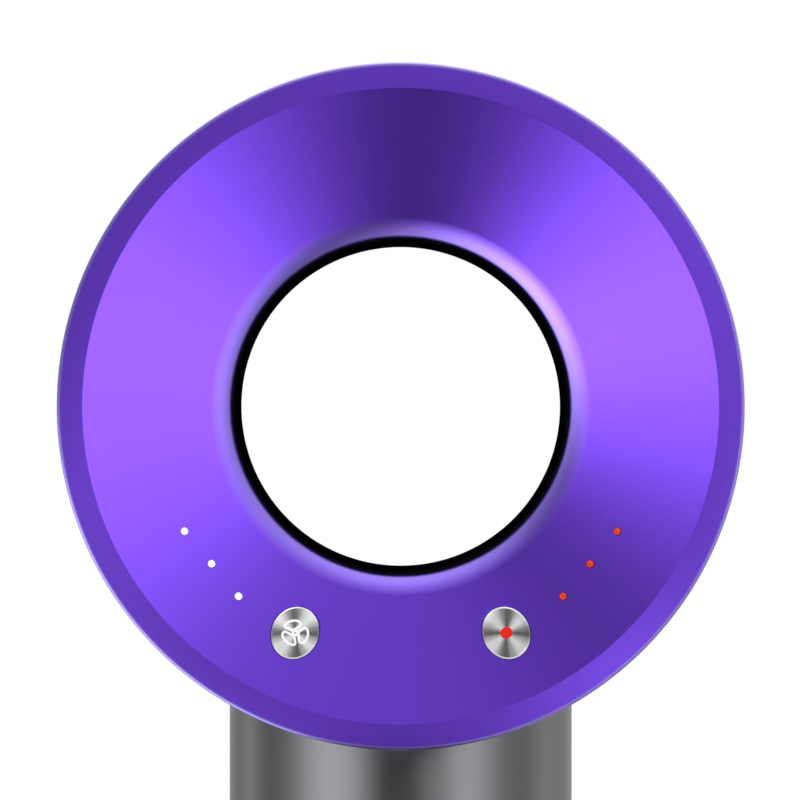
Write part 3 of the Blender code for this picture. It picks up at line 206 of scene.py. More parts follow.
FACE_SLOPE = math.tan(math.radians(FACE_ANGLE))
FACE_COSINE = math.cos(math.radians(FACE_ANGLE))
FACE_SINE = math.sin(math.radians(FACE_ANGLE))
LIP_COSINE = math.cos(math.radians(LIP_ANGLE))
LIP_SINE = math.sin(math.radians(LIP_ANGLE))
BEVEL_SLOPE = 1.0
BEVEL_COSINE = math.sqrt(0.5)
RIM_RADIUS = HEAD_RADIUS - BEVEL_WIDTH
LIP_CREST = BORE_RADIUS + LIP_ROUND
LIP_RADIUS = LIP_CREST + LIP_ROUND * LIP_SINE + LIP_ROLL * (FACE_SINE - LIP_SINE)
LIP_AXIAL = REAR + LIP_ROUND * (1 - LIP_COSINE) + LIP_ROLL * (LIP_COSINE - FACE_COSINE)
COVER_INNER = HEAD_RADIUS - COVER_WALL
COLLAR_END = REAR + COLLAR_LENGTH
SPIGOT_OUTER = COVER_INNER - GAP
SPIGOT_INNER = SPIGOT_OUTER - HEAD_WALL
BARREL_INNER = HEAD_RADIUS - HEAD_WALL
BARREL_REAR = COVER_SEAM + GAP
FRONT_SEAM = BARREL_HIGH.y + GAP
LINER_OUTER = BORE_RADIUS + LINER_WALL
OUTLET_RADIUS = LINER_OUTER + OUTLET_GAP
HANDLE_INNER = HANDLE_RADIUS - HANDLE_WALL
CAGE_INNER = HANDLE_RADIUS - CAGE_WALL
FLANGE_OUTER = HANDLE_INNER - GAP
FLANGE_INNER = FLANGE_OUTER - CONTROL_FLANGE
CAGE_CELL = math.tau * HANDLE_RADIUS / CAGE_COLUMNS
CAGE_SLOT_CORNER = 0.72 * (CAGE_CELL / 2 - CAGE_SLOT_MARGIN)


def face_axial(radius, depth=0.0):
    """Place along the head's axis of the rear cone at a radius, at a depth below its surface."""
    return LIP_AXIAL + (radius - LIP_RADIUS) * FACE_SLOPE + depth / FACE_COSINE


def bevel_axial(radius, depth=0.0):
    """Place along the head's axis of the bevel round the rear face."""
    return face_axial(RIM_RADIUS) + (radius - RIM_RADIUS) * BEVEL_SLOPE + depth / BEVEL_COSINE


# Outlines


def rounded(corners):
    """A closed outline through corners of (x, y) or (x, y, fillet), with each fillet drawn as an arc."""
    points = []
    for i, corner in enumerate(corners):
        if len(corner) == 2:
            points.append(corner)
            continue
        here = Vector(corner[:2])
        fillet = corner[2]
        before = (Vector(corners[i - 1][:2]) - here).normalized()
        after = (Vector(corners[(i + 1) % len(corners)][:2]) - here).normalized()
        half = before.angle(after) / 2
        centre = here + (before + after).normalized() * (fillet / math.sin(half))
        start = here + before * (fillet / math.tan(half)) - centre
        end = here + after * (fillet / math.tan(half)) - centre
        sweep = math.atan2(start.x * end.y - start.y * end.x, start.dot(end))
        steps = max(2, math.ceil(abs(sweep) / ARC_STEP))
        for k in range(steps + 1):
            turn = sweep * k / steps
            points.append((
                centre.x + start.x * math.cos(turn) - start.y * math.sin(turn),
                centre.y + start.x * math.sin(turn) + start.y * math.cos(turn),
            ))
    return points


def arc(centre, radius, start, end, steps):
    """Plain corners along an arc, with its angles in degrees."""
    corners = []
    for k in range(steps + 1):
        angle = math.radians(start + (end - start) * k / steps)
        corners.append((centre[0] + radius * math.cos(angle), centre[1] + radius * math.sin(angle)))
    return corners


def circle(radius, sides):
    angles = [math.tau * i / sides for i in range(sides)]
    return [(radius * math.cos(a), radius * math.sin(a)) for a in angles]


def quarter(steps):
    """Pairs of cosine and sine along a quarter turn."""
    turns = [math.pi / 2 * k / steps for k in range(steps + 1)]
    return [(math.cos(turn), math.sin(turn)) for turn in turns]


def stadium(half_width, straight, steps=24):
    """Outline of an upright slot with round ends and a straight stretch of a given length."""
    points = []
    for side in (1, -1):
        for i in range(steps + 1):
            angle = math.pi * i / steps + (0.0 if side > 0 else math.pi)
            y = half_width * math.sin(angle) + side * straight / 2
            points.append((half_width * math.cos(angle), y))
    return points


# Meshes


def weld(mesh, sharp):
    """Joins points that coincide, drops what has no area, and shades smooth up to an angle."""
    bm = bmesh.new()
    bm.from_mesh(mesh)
    bmesh.ops.remove_doubles(bm, verts=bm.verts, dist=WELD_DISTANCE)
    bmesh.ops.dissolve_degenerate(bm, edges=bm.edges, dist=WELD_DISTANCE)
    loose = [edge for edge in bm.edges if not edge.link_faces]
    bmesh.ops.delete(bm, geom=loose, context="EDGES")
    bmesh.ops.recalc_face_normals(bm, faces=bm.faces)
    bm.to_mesh(mesh)
    bm.free()
    mesh.shade_smooth()
    mesh.set_sharp_from_angle(angle=math.radians(sharp))


def mesh_object(name, verts, faces, matrix, sharp=SHARP):
    """An object from vertices and faces, welded, facing out and shaded smooth up to an angle."""
    mesh = bpy.data.meshes.new(name)
    mesh.from_pydata(verts, [], faces)
    weld(mesh, sharp)
    obj = bpy.data.objects.new(name, mesh)
    bpy.context.scene.collection.objects.link(obj)
    obj.matrix_world = matrix
    return obj


def strip(first, second, wrap):
    """Faces between two rows of vertex numbers, and back round to their start if they wrap."""
    pairs = list(zip(first, second))
    following = pairs[1:] + pairs[:1] if wrap else pairs[1:]
    return [(a, b, d, c) for (a, c), (b, d) in zip(pairs, following)]


def tube(rows, closed=False, wrap=True):
    """Vertices and faces through rows of points, and back to the first row if closed."""
    count = len(rows[0])
    numbers = [range(k * count, (k + 1) * count) for k in range(len(rows))]
    if closed:
        numbers.append(numbers[0])
    faces = [face for low, high in zip(numbers, numbers[1:]) for face in strip(low, high, wrap)]
    return [point for row in rows for point in row], faces


def loft(rows):
    """Vertices and faces of a solid through rings, closed at both ends."""
    verts, faces = tube(rows)
    count = len(rows[0])
    faces.append(tuple(range(count))[::-1])
    faces.append(tuple(range(len(verts) - count, len(verts))))
    return verts, faces


def together(*shapes):
    """Several shapes as one list of vertices and one of faces."""
    verts = []
    faces = []
    for more_verts, more_faces in shapes:
        faces += [tuple(i + len(verts) for i in face) for face in more_faces]
        verts += more_verts
    return verts, faces


def turned(profile, sides):
    """Vertices and faces of a closed profile of (radius, axial) points turned round Z."""
    rows = [[(x, y, axial) for x, y in circle(radius, sides)] for radius, axial in profile]
    return tube(rows, closed=True)


def spokes(rows, count):
    """Solids through the same rings, set evenly round Z."""
    shapes = []
    for i in range(count):
        turn = Matrix.Rotation(math.tau * (i + 0.5) / count, 4, "Z")
        shapes.append(loft([[tuple(turn @ Vector(point)) for point in row] for row in rows]))
    return shapes


def lathe(name, corners, sides, matrix):
    """A turned piece whose profile has filleted corners."""
    return mesh_object(name, *turned(rounded(corners), sides), matrix)


def cut(obj, shape, matrix):
    """Takes a shape away from an object and keeps the result as its mesh."""
    tool = mesh_object("tool", *shape, matrix)
    modifier = obj.modifiers.new("cut", "BOOLEAN")
    modifier.operation = "DIFFERENCE"
    modifier.solver = "EXACT"
    modifier.object = tool
    bpy.context.view_layer.update()
    graph = bpy.context.evaluated_depsgraph_get()
    mesh = bpy.data.meshes.new_from_object(obj.evaluated_get(graph))
    obj.modifiers.clear()
    old = obj.data
    obj.data = mesh
    bpy.data.meshes.remove(old)
    bpy.data.objects.remove(tool)
    weld(mesh, SHARP)


def true_normals(obj, normal_at):
    """Gives faces that lie on a known surface that surface's own normals, so that cuts leave no trace."""
    mesh = obj.data
    normals = [Vector(corner.vector) for corner in mesh.corner_normals]
    for face in mesh.polygons:
        for loop in face.loop_indices:
            normal = normal_at(mesh.vertices[mesh.loops[loop].vertex_index].co)
            if normal.dot(face.normal) > SAME_SURFACE:
                normals[loop] = normal
    mesh.normals_split_custom_set(normals)


def cone_normal(point):
    """Outward normal of the rear cone, in the head's own axes."""
    radius = math.hypot(point.x, point.y) or 1.0
    return Vector((point.x / radius * FACE_SINE, point.y / radius * FACE_SINE, -FACE_COSINE))


def round_normal(point):
    """Outward normal of a cylinder round Z."""
    return Vector((point.x, point.y, 0.0)).normalized()


# Finishes


class Finish:
    """A material with short calls that add shader nodes and link them."""

    def __init__(self, name, **constants):
        self.material = bpy.data.materials.new(name)
        self.material.use_nodes = True
        self.tree = self.material.node_tree
        self.shader = self.tree.nodes["Principled BSDF"]
        self.coords = self.add("TexCoord").outputs["Object"]
        for socket, value in constants.items():
            self.shader.inputs[socket.replace("_", " ")].default_value = value

    def add(self, kind, inputs=(), **settings):
        node = self.tree.nodes.new(f"ShaderNode{kind}")
        for name, value in settings.items():
            setattr(node, name, value)
        for name, value in dict(inputs).items():
            self.feed(node.inputs[name], value)
        return node

    def feed(self, socket, value):
        if isinstance(value, bpy.types.NodeSocket):
            self.tree.links.new(value, socket)
        else:
            socket.default_value = value

    def drive(self, socket, value):
        self.feed(self.shader.inputs[socket], value)

    def math(self, operation, *values):
        return self.add("Math", enumerate(values), operation=operation).outputs[0]

    def split(self, vector):
        return self.add("SeparateXYZ", {"Vector": vector}).outputs

    def stretch(self, scale):
        """The object's coordinates scaled by one factor along each axis."""
        return self.add("Mapping", {"Vector": self.coords, "Scale": scale}).outputs["Vector"]

    def noise(self, scale, detail=3.0, coords=None):
        inputs = {"Vector": coords or self.coords, "Scale": scale, "Detail": detail}
        return self.add("TexNoise", inputs).outputs["Fac"]

    def cells(self, scale, coords=None):
        """A random value for each cell of a pattern."""
        inputs = {"Vector": coords or self.coords, "Scale": scale}
        colour = self.add("TexVoronoi", inputs).outputs["Color"]
        return self.add("SeparateColor", {"Color": colour}).outputs["Red"]

    def span(self, value, low, high, start=0.0, end=1.0):
        """A value from start to end mapped to one from low to high."""
        inputs = {"Value": value, "From Min": start, "From Max": end, "To Min": low, "To Max": high}
        return self.add("MapRange", inputs).outputs["Result"]

    def blend(self, factor, first, second):
        node = self.add("Mix", data_type="RGBA")
        self.feed(node.inputs[0], factor)
        self.feed(node.inputs[6], (*first, 1.0) if isinstance(first, tuple) else first)
        self.feed(node.inputs[7], (*second, 1.0) if isinstance(second, tuple) else second)
        return node.outputs[2]

    def tint(self, factor, first, second):
        self.drive("Base Color", self.blend(factor, first, second))

    def gloss(self, factor, low, high):
        self.drive("Roughness", self.span(factor, low, high))

    def relief(self, height, distance):
        node = self.add("Bump", {"Height": height, "Distance": distance})
        self.drive("Normal", node.outputs["Normal"])

    def polar(self):
        """Angle round the object's Z axis in radians, and distance from it."""
        x, y, _ = self.split(self.coords)
        angle = self.math("ARCTAN2", y, x)
        square = self.math("ADD", self.math("MULTIPLY", x, x), self.math("MULTIPLY", y, y))
        return angle, self.math("SQRT", square)


def shade(colour, factor):
    return tuple(channel * factor for channel in colour)


PURPLE = (0.22, 0.08, 0.90)
# Colours of the painted highlight on the rear cover's lip and edge, and of the painted shade where the lip
# turns into the bore
PAINTED_HIGHLIGHT_PURPLE = (0.36, 0.26, 0.90)
PAINTED_SHADE_PURPLE = (0.04, 0.02, 0.22)
GREY = (0.196, 0.196, 0.207)


def metal_lacquer(name, colour, low, high):
    """Metallic lacquer: fine flakes under a satin surface with a faint orange peel."""
    look = Finish(name, Metallic=1.0)
    look.colour = look.blend(look.cells(11000.0), shade(colour, 0.975), shade(colour, 1.025))
    look.drive("Base Color", look.colour)
    look.gloss(look.noise(420.0), low, high)
    look.relief(look.noise(760.0), 5e-7)
    return look


def purple_lacquer():
    """Purple lacquer, with a paler painted highlight over the lip and the outer edge, and painted shade
    where the lip turns into the bore.
    """
    look = metal_lacquer("purple_lacquer", PURPLE, 0.265, 0.295)
    _, radius = look.polar()
    # Painted highlight: paler colour over the lip and just inside the outer edge.
    lip = look.span(radius, 1.0, 0.0, LIP_CREST, LIP_RADIUS)
    edge = look.span(radius, 0.0, 1.0, HEAD_RADIUS - 0.4 * EDGE_ROUND, HEAD_RADIUS - 0.25 * EDGE_ROUND)
    pale = look.blend(look.math("MAXIMUM", lip, edge), look.colour, PAINTED_HIGHLIGHT_PURPLE)
    # Painted shade: darker purple where the lip turns down into the bore.
    turn = look.span(radius, 1.0, 0.0, LIP_CREST, LIP_CREST + LIP_ROUND)
    look.tint(turn, pale, PAINTED_SHADE_PURPLE)
    return look.material


def satin_grey():
    return metal_lacquer("satin_grey", GREY, 0.22, 0.26).material


def deep_black():
    """Dead matt black that takes light without a sheen."""
    look = Finish("deep_black", Roughness=0.85, Specular_IOR_Level=0.0)
    look.tint(look.noise(900.0), (0.003, 0.003, 0.005), (0.007, 0.006, 0.010))
    look.relief(look.noise(5200.0), 4e-6)
    return look.material


def matt_black():
    """Moulded black plastic with a spark-eroded grain."""
    look = Finish("matt_black", IOR=1.47)
    look.tint(look.noise(260.0), (0.014, 0.014, 0.016), (0.022, 0.022, 0.025))
    look.gloss(look.noise(1500.0), 0.42, 0.58)
    look.relief(look.noise(4800.0, 2.0), 9e-6)
    return look.material


def steel(name, colour, low, high):
    """Turned steel with fine rings round its axis."""
    look = Finish(name, Metallic=1.0)
    rings = look.noise(9000.0, 2.0, look.stretch((0.02, 0.02, 1.0)))
    look.tint(rings, shade(colour, 0.86), shade(colour, 1.1))
    look.gloss(look.noise(600.0), low, high)
    look.relief(rings, 1e-6)
    return look.material


def spun_face_with_painted_fans():
    """Spun steel cap with concentric cuts, and a painted highlight: its colour is lighter in four fans
    round the middle.
    """
    look = Finish("spun_face_with_painted_fans", Metallic=0.55, Anisotropic=0.55)
    angle, radius = look.polar()
    # Painted highlight: light fans with dark gaps between them, painted into the colour and fixed to the
    # cap.
    painted_fan_wave = look.math("SINE", look.math("MULTIPLY", angle, 2.0))
    fan = look.math("POWER", look.math("ABSOLUTE", painted_fan_wave), 1.8)
    along = look.add("CombineXYZ", {"X": radius}).outputs[0]
    cuts = look.noise(16000.0, 3.0, along)
    turn = {"X": look.math("COSINE", angle), "Y": look.math("SINE", angle)}
    streaks = look.noise(5.0, 4.0, look.add("CombineXYZ", turn).outputs[0])
    painted_fans_tone = look.math("ADD", fan, look.span(streaks, -0.16, 0.16, 0.25, 0.75))
    painted_fans_tone = look.math("ADD", painted_fans_tone, look.span(cuts, -0.06, 0.06, 0.25, 0.75))
    look.tint(painted_fans_tone, (0.16, 0.158, 0.16), (1.0, 0.99, 1.0))
    look.gloss(cuts, 0.24, 0.36)
    look.relief(cuts, 1.2e-6)
    look.drive("Tangent", look.add("Tangent", direction_type="RADIAL", axis="Z").outputs[0])
    return look.material


def rim_with_painted_highlight():
    """Polished edge of a button, with a painted highlight that makes it brightest at its top and bottom.
    """
    look = Finish("rim_with_painted_highlight", Metallic=0.25, Roughness=0.16)
    angle, _ = look.polar()
    # Painted highlight: the colour is lighter towards the top and bottom of the rim, with a little random
    # unevenness.
    lift = look.math("ABSOLUTE", look.math("SINE", angle))
    rim_highlight_share = look.math("ADD", lift, look.span(look.noise(1800.0), -0.1, 0.1))
    bright = look.span(rim_highlight_share, 0.0, 1.0, 0.2, 0.6)
    look.tint(bright, (0.30, 0.26, 0.36), (0.98, 0.95, 1.0))
    return look.material


def print_with_painted_glow():
    # Painted light: a faint glow lifts the printed white above what the lamps give, though the print is no
    # lamp.
    look = Finish("print_with_painted_glow", Roughness=0.5, Emission_Strength=0.15)
    look.drive("Emission Color", (1.0, 1.0, 1.0, 1.0))
    look.tint(look.noise(3000.0), (0.93, 0.93, 0.94), (1.0, 1.0, 1.0))
    return look.material


def red_enamel():
    look = Finish("red_enamel", Roughness=0.3, Specular_IOR_Level=0.2)
    look.tint(look.noise(2600.0), (0.90, 0.018, 0.006), (0.98, 0.026, 0.009))
    return look.material


def lit_lens(name, centre, edge):
    """Lit indicator: bright in the middle and a little deeper at its rim."""
    look = Finish(name, Roughness=0.18, Emission_Strength=0.92)
    _, radius = look.polar()
    glow = look.span(radius, 0.0, 1.0, 0.6 * LENS_RADIUS, LENS_RADIUS)
    look.tint(glow, shade(centre, 0.3), shade(edge, 0.3))
    look.drive("Emission Color", look.blend(glow, centre, edge))
    return look.material


def rubber():
    look = Finish("grey_rubber", IOR=1.45)
    look.tint(look.noise(500.0), (0.045, 0.045, 0.05), (0.07, 0.07, 0.075))
    look.gloss(look.noise(2400.0), 0.66, 0.84)
    look.relief(look.noise(6000.0), 6e-6)
    return look.material


def woven_screen():
    """Fine woven wire screen wrapped round the basket."""
    look = Finish("filter_mesh", Metallic=0.7)
    angle, _ = look.polar()
    height = look.split(look.coords)["Z"]
    warp = look.math("SINE", look.math("MULTIPLY", angle, math.tau * SCREEN_OUTER / SCREEN_PITCH))
    weft = look.math("SINE", look.math("MULTIPLY", height, math.tau / SCREEN_PITCH))
    weave = look.math("MAXIMUM", look.math("ABSOLUTE", warp), look.math("ABSOLUTE", weft))
    wire = look.span(weave, 0.0, 1.0, 0.55, 0.95)
    look.tint(wire, (0.006, 0.006, 0.007), (0.20, 0.20, 0.21))
    look.gloss(wire, 0.8, 0.38)
    look.relief(weave, 8e-5)
    return look.material


def circuit_board():
    """Solder mask over copper tracks."""
    look = Finish("board_green", IOR=1.5)
    bricks = {"Vector": look.coords, "Scale": 260.0, "Mortar Size": 0.012}
    tracks = look.add("TexBrick", bricks).outputs["Fac"]
    pads = look.span(look.cells(700.0), 0.0, 1.0, 0.86, 0.9)
    mask = look.blend(tracks, (0.012, 0.085, 0.04), (0.03, 0.17, 0.085))
    look.tint(pads, mask, (0.55, 0.50, 0.42))
    look.gloss(look.noise(900.0), 0.32, 0.5)
    look.relief(tracks, 2e-5)
    return look.material


def wound_copper():
    """Enamelled copper wire laid side by side."""
    look = Finish("copper_winding", Metallic=1.0)
    angle, _ = look.polar()
    lay = look.math("SINE", look.math("MULTIPLY", angle, 120.0))
    # Painted shade and highlight: the colour is darker in the grooves between the wires and lighter on
    # their crowns, following the ripple of the bump.
    bright = look.span(lay, 0.0, 1.0, -1.0, 1.0)
    look.tint(bright, (0.42, 0.16, 0.06), (0.80, 0.38, 0.19))
    look.gloss(look.noise(800.0), 0.24, 0.36)
    look.relief(lay, 6e-5)
    return look.material


def mica_sheet():
    look = Finish("mica", IOR=1.56)
    flakes = look.cells(480.0, look.stretch((1.0, 1.0, 0.35)))
    look.tint(flakes, (0.46, 0.39, 0.27), (0.64, 0.57, 0.44))
    look.gloss(flakes, 0.38, 0.66)
    look.relief(look.noise(1300.0), 1.5e-5)
    return look.material


def heater_wire():
    """Resistance wire with the tints that heat leaves."""
    look = Finish("heater_wire", Metallic=1.0)
    look.tint(look.noise(180.0), (0.36, 0.34, 0.38), (0.58, 0.52, 0.46))
    look.gloss(look.noise(2000.0), 0.3, 0.46)
    look.relief(look.noise(7000.0), 4e-6)
    return look.material


FINISHES = {
    "purple_lacquer": purple_lacquer(),
    "satin_grey": satin_grey(),
    "deep_black": deep_black(),
    "matt_black": matt_black(),
    "spun_steel": steel("spun_steel", (0.62, 0.61, 0.63), 0.2, 0.3),
    "dark_steel": steel("dark_steel", (0.28, 0.28, 0.29), 0.34, 0.46),
    "mica": mica_sheet(),
    "heater_wire": heater_wire(),
    "bright_alloy": steel("bright_alloy", (0.70, 0.71, 0.72), 0.26, 0.36),
    "grey_rubber": rubber(),
    "board_green": circuit_board(),
    "copper_winding": wound_copper(),
    "lens_white": lit_lens("lens_white", (1.0, 1.0, 1.0), (0.86, 0.84, 0.95)),
    "lens_red": lit_lens("lens_red", (0.62, 0.033, 0.009), (0.5, 0.02, 0.008)),
    "filter_mesh": woven_screen(),
}
SPUN_FACE_WITH_PAINTED_FANS = spun_face_with_painted_fans()
RIM_WITH_PAINTED_HIGHLIGHT = rim_with_painted_highlight()
PRINT_WITH_PAINTED_GLOW = print_with_painted_glow()
RED_ENAMEL = red_enamel()

for part in frame["record"]["subparts"]:
    materials = frame["nodes"][part["node"]].data.materials
    materials.clear()
    materials.append(FINISHES[part["material_slot"]])


def dress(obj, body, slot, *nodes, finish=None):
    """Finishes a piece, sets it on its body, and lets it stand for CAD nodes."""
    obj.data.materials.append(finish or FINISHES[slot])
    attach(obj, body)
    if nodes:
        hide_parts(*nodes)


# Places on the rear face


class FacePlace:
    """Where a control stands on the rear cone: the centre of its top and the axes of the face there."""

    def __init__(self, node, proud=0.0):
        low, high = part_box(node)
        self.proud = proud
        middle = (low + high) / 2
        self.along = Vector((middle.x, 0.0, middle.z - AXIS_Z))
        self.radius = self.along.length
        self.along.normalize()
        self.across = Vector((self.along.z, 0.0, -self.along.x))
        self.centre = Vector((0.0, 0.0, AXIS_Z)) + self.along * self.radius
        self.centre.y = face_axial(self.radius) - proud / FACE_COSINE
        normal = self.along * FACE_SINE + Vector((0.0, -FACE_COSINE, 0.0))
        up = (Vector((0.0, 0.0, 1.0)) - normal * normal.z).normalized()
        axes = Matrix((up.cross(normal), up, normal)).transposed().to_4x4()
        self.matrix = Matrix.Translation(self.centre) @ axes
        self.inverse = self.matrix.inverted()

    def point(self, along, across, lift):
        """A point in the face's own axes, from offsets along and across it and a lift off the cone."""
        place = self.centre + self.along * along + self.across * across
        place.y += along * FACE_SLOPE - (lift - self.proud) / FACE_COSINE
        return tuple(self.inverse @ place)

    def oval(self, half_length, half_width, lift, sides=SMALL_SIDES):
        return [self.point(x * half_length, y * half_width, lift) for x, y in circle(1.0, sides)]


BUTTONS = {side: FacePlace(f"{side}_button", BUTTON_PROUD) for side in ("speed", "heat")}
LENSES = {
    f"{side}_led_{i}": FacePlace(f"{side}_led_{i}") for side in ("speed", "heat") for i in (1, 2, 3)
}


# The head


def rear_cover():
    """Purple bell of the rear face: lip, cone, bevel and skirt, with the holes of its controls."""
    collar = BORE_RADIUS + COVER_WALL
    crease = (face_axial(0.0, COVER_WALL) - bevel_axial(0.0, COVER_WALL)) / (BEVEL_SLOPE - FACE_SLOPE)
    corners = [(BORE_RADIUS, COLLAR_END)]
    roll_centre = (LIP_RADIUS - LIP_ROLL * FACE_SINE, LIP_AXIAL + LIP_ROLL * FACE_COSINE)
    corners += arc((LIP_CREST, REAR + LIP_ROUND), LIP_ROUND, 180, 270 + LIP_ANGLE, 12)
    corners += arc(roll_centre, LIP_ROLL, 270 + LIP_ANGLE, 270 + FACE_ANGLE, 12)[1:]
    corners += [
        (RIM_RADIUS, face_axial(RIM_RADIUS), RIM_ROUND),
        (HEAD_RADIUS, bevel_axial(HEAD_RADIUS), EDGE_ROUND),
        (HEAD_RADIUS, COVER_SEAM, SEAM_ROUND),
        (COVER_INNER, COVER_SEAM),
        (COVER_INNER, bevel_axial(COVER_INNER, COVER_WALL)),
        (crease, face_axial(crease, COVER_WALL)),
        (collar, face_axial(collar, COVER_WALL)),
        (collar, COLLAR_END),
    ]
    cover = lathe("rear_cover_bell", corners, HEAD_SIDES, HEAD)
    tools = []
    for place in BUTTONS.values():
        half_length = BUTTON_LENGTH / 2 + BUTTON_CLEARANCE
        half_width = BUTTON_WIDTH / 2 + BUTTON_CLEARANCE
        tools.append(hole(place, half_length, half_width, SMALL_SIDES))
    for place in LENSES.values():
        tools.append(hole(place, LENS_RADIUS + LENS_CLEARANCE, LENS_RADIUS + LENS_CLEARANCE, LENS_SIDES))
    cut(cover, together(*tools), Matrix.Identity(4))
    true_normals(cover, cone_normal)
    dress(cover, "dryer", "purple_lacquer", "rear_cover")
    cover.data.materials.append(FINISHES["deep_black"])
    for face in cover.data.polygons:
        inward = -face.normal.dot(round_normal(face.center))
        if inward > LIP_SINE and math.hypot(face.center.x, face.center.y) < LIP_CREST:
            face.material_index = 1


def hole(place, half_length, half_width, sides):
    """Cutter for a hole in the cover, with a broken edge that follows the cone."""
    steps = [(0.0, -2 * COVER_WALL), (0.0, -HOLE_BREAK), (HOLE_BREAK, 0.0), (2 * HOLE_BREAK, HOLE_BREAK)]
    steps.append((2 * HOLE_BREAK, COVER_WALL))
    rows = []
    for grow, lift in steps:
        row = place.oval(half_length + grow, half_width + grow, lift, sides)
        rows.append([tuple(place.matrix @ Vector(point)) for point in row])
    return loft(rows)


def head_barrel():
    """Grey barrel of the head, with the spigot that holds the rear cover and the hole of the neck."""
    step = BARREL_REAR + SPIGOT_STEP
    corners = [
        (SPIGOT_INNER, BARREL_LOW.y),
        (SPIGOT_OUTER, BARREL_LOW.y, FINE_EDGE),
        (SPIGOT_OUTER, BARREL_REAR),
        (HEAD_RADIUS, BARREL_REAR, SEAM_ROUND),
        (HEAD_RADIUS, BARREL_HIGH.y, SEAM_ROUND),
        (BARREL_INNER, BARREL_HIGH.y),
        (BARREL_INNER, step),
        (SPIGOT_INNER, step),
    ]
    barrel = lathe("head_barrel", corners, HEAD_SIDES, HEAD)
    neck = circle(NECK_RADIUS + GAP, SMALL_SIDES)
    rows = [[(x, y, z) for x, y in neck] for z in (AXIS_Z - HEAD_RADIUS - GAP, AXIS_Z - HEAD_RADIUS / 2)]
    cut(barrel, loft(rows), HANDLE)
    true_normals(barrel, round_normal)
    dress(barrel, "dryer", "satin_grey", "head_shell")


def bore_tube():
    """Black tube of the open bore, with its front lip."""
    socket_inner = BORE_RADIUS + COVER_WALL + GAP
    socket_outer = socket_inner + LINER_WALL
    lip = LINER_WALL * LIP_SHARE
    corners = [
        (BORE_RADIUS, COLLAR_END + GAP, THIN_EDGE),
        (BORE_RADIUS, FRONT, lip),
        (LINER_OUTER, FRONT, lip),
        (LINER_OUTER, COLLAR_END + 2 * LINER_TAPER),
        (socket_outer, COLLAR_END + LINER_TAPER),
        (socket_outer, COLLAR_END - LINER_SOCKET),
        (socket_inner, COLLAR_END - LINER_SOCKET),
        (socket_inner, COLLAR_END + GAP),
    ]
    dress(lathe("bore_tube", corners, HEAD_SIDES, HEAD), "dryer", "deep_black", "bore_liner")


def outlet_ring():
    """Front ring: the flat face for attachments and the outer wall of the annular outlet."""
    face = FRONT - FRONT_WALL
    spigot_outer = BARREL_INNER - GAP
    spigot_inner = spigot_outer - HEAD_WALL
    spigot_end = FRONT_SEAM - SPIGOT_LENGTH
    throat = FRONT_LOW.y
    flare = OUTLET_RADIUS + THROAT_FLARE
    corners = [
        (HEAD_RADIUS, FRONT_SEAM, SEAM_ROUND),
        (HEAD_RADIUS, FRONT, FRONT_ROUND),
        (OUTLET_RADIUS, FRONT, OUTLET_EDGE),
        (OUTLET_RADIUS, FRONT - OUTLET_LIP, OUTLET_ROUND),
        (flare, throat, FINE_EDGE),
        (flare + FRONT_WALL, throat, FINE_EDGE),
        (OUTLET_RADIUS + FRONT_WALL, FRONT - OUTLET_LIP),
        (OUTLET_RADIUS + FRONT_WALL, face),
        (spigot_inner, face),
        (spigot_inner, spigot_end),
        (spigot_outer, spigot_end),
        (spigot_outer, FRONT_SEAM),
    ]
    dress(lathe("outlet_ring", corners, HEAD_SIDES, HEAD), "dryer", "satin_grey", "front_ring")


def guide_vanes():
    """Straightening vanes with rounded edges, on a sleeve round the liner."""
    inner = LINER_OUTER + GAP
    sleeve = inner + SLEEVE_WALL
    low, high = VANES_LOW.y, VANES_HIGH.y
    middle = (low + high) / 2
    ring = rounded([
        (inner, low), (sleeve, low, FINE_EDGE), (sleeve, high, SOFT_EDGE), (inner, high, FINE_EDGE),
    ])
    section = stadium(VANE_THICKNESS / 2, high - low - 2 * VANE_THICKNESS, 8)
    ends = (sleeve - VANE_THICKNESS / 2, OUTLET_RADIUS - GAP)
    rows = [[(radius, x, y + middle) for x, y in section] for radius in ends]
    shape = together(turned(ring, HEAD_SIDES), *spokes(rows, VANE_COUNT))
    dress(mesh_object("guide_vanes", *shape, HEAD), "dryer", "matt_black", "outlet_vanes")


# The controls on the rear face


def face_button(side):
    """Oval push button: a spun cap inside a polished edge."""
    place = BUTTONS[side]
    length = BUTTON_LENGTH / 2
    width = BUTTON_WIDTH / 2
    rows = [(0.0, -BUTTON_DEPTH), (0.0, BUTTON_PROUD - BUTTON_EDGE)]
    for cosine, sine in quarter(7)[1:]:
        rows.append((-BUTTON_EDGE * (1 - cosine), BUTTON_PROUD - BUTTON_EDGE * (1 - sine)))
    groove = BUTTON_GROOVE
    rows.append((-BUTTON_EDGE - groove, BUTTON_PROUD - groove))
    rows.append((-BUTTON_EDGE - 2 * groove, BUTTON_PROUD - groove))
    rings = [place.oval(length + grow, width + grow, lift) for grow, lift in rows]
    inset = BUTTON_EDGE + 2 * groove
    top = BUTTON_PROUD - groove / 2
    for share in BUTTON_RINGS:
        rings.append(place.oval((length - inset) * share, (width - inset) * share, top))
    button = mesh_object(f"{side}_cap", *loft(rings), place.matrix, sharp=40.0)
    mesh = button.data
    dress(button, f"{side}_button", "spun_steel", f"{side}_button", finish=SPUN_FACE_WITH_PAINTED_FANS)
    mesh.materials.append(RIM_WITH_PAINTED_HIGHLIGHT)
    limit_length = length - BUTTON_EDGE - groove / 2
    limit_width = width - BUTTON_EDGE - groove / 2
    for face in mesh.polygons:
        place_on = place.matrix @ face.center - place.centre
        along = place_on.dot(place.along) / limit_length
        across = place_on.dot(place.across) / limit_width
        if math.hypot(along, across) > 1.0:
            face.material_index = 1


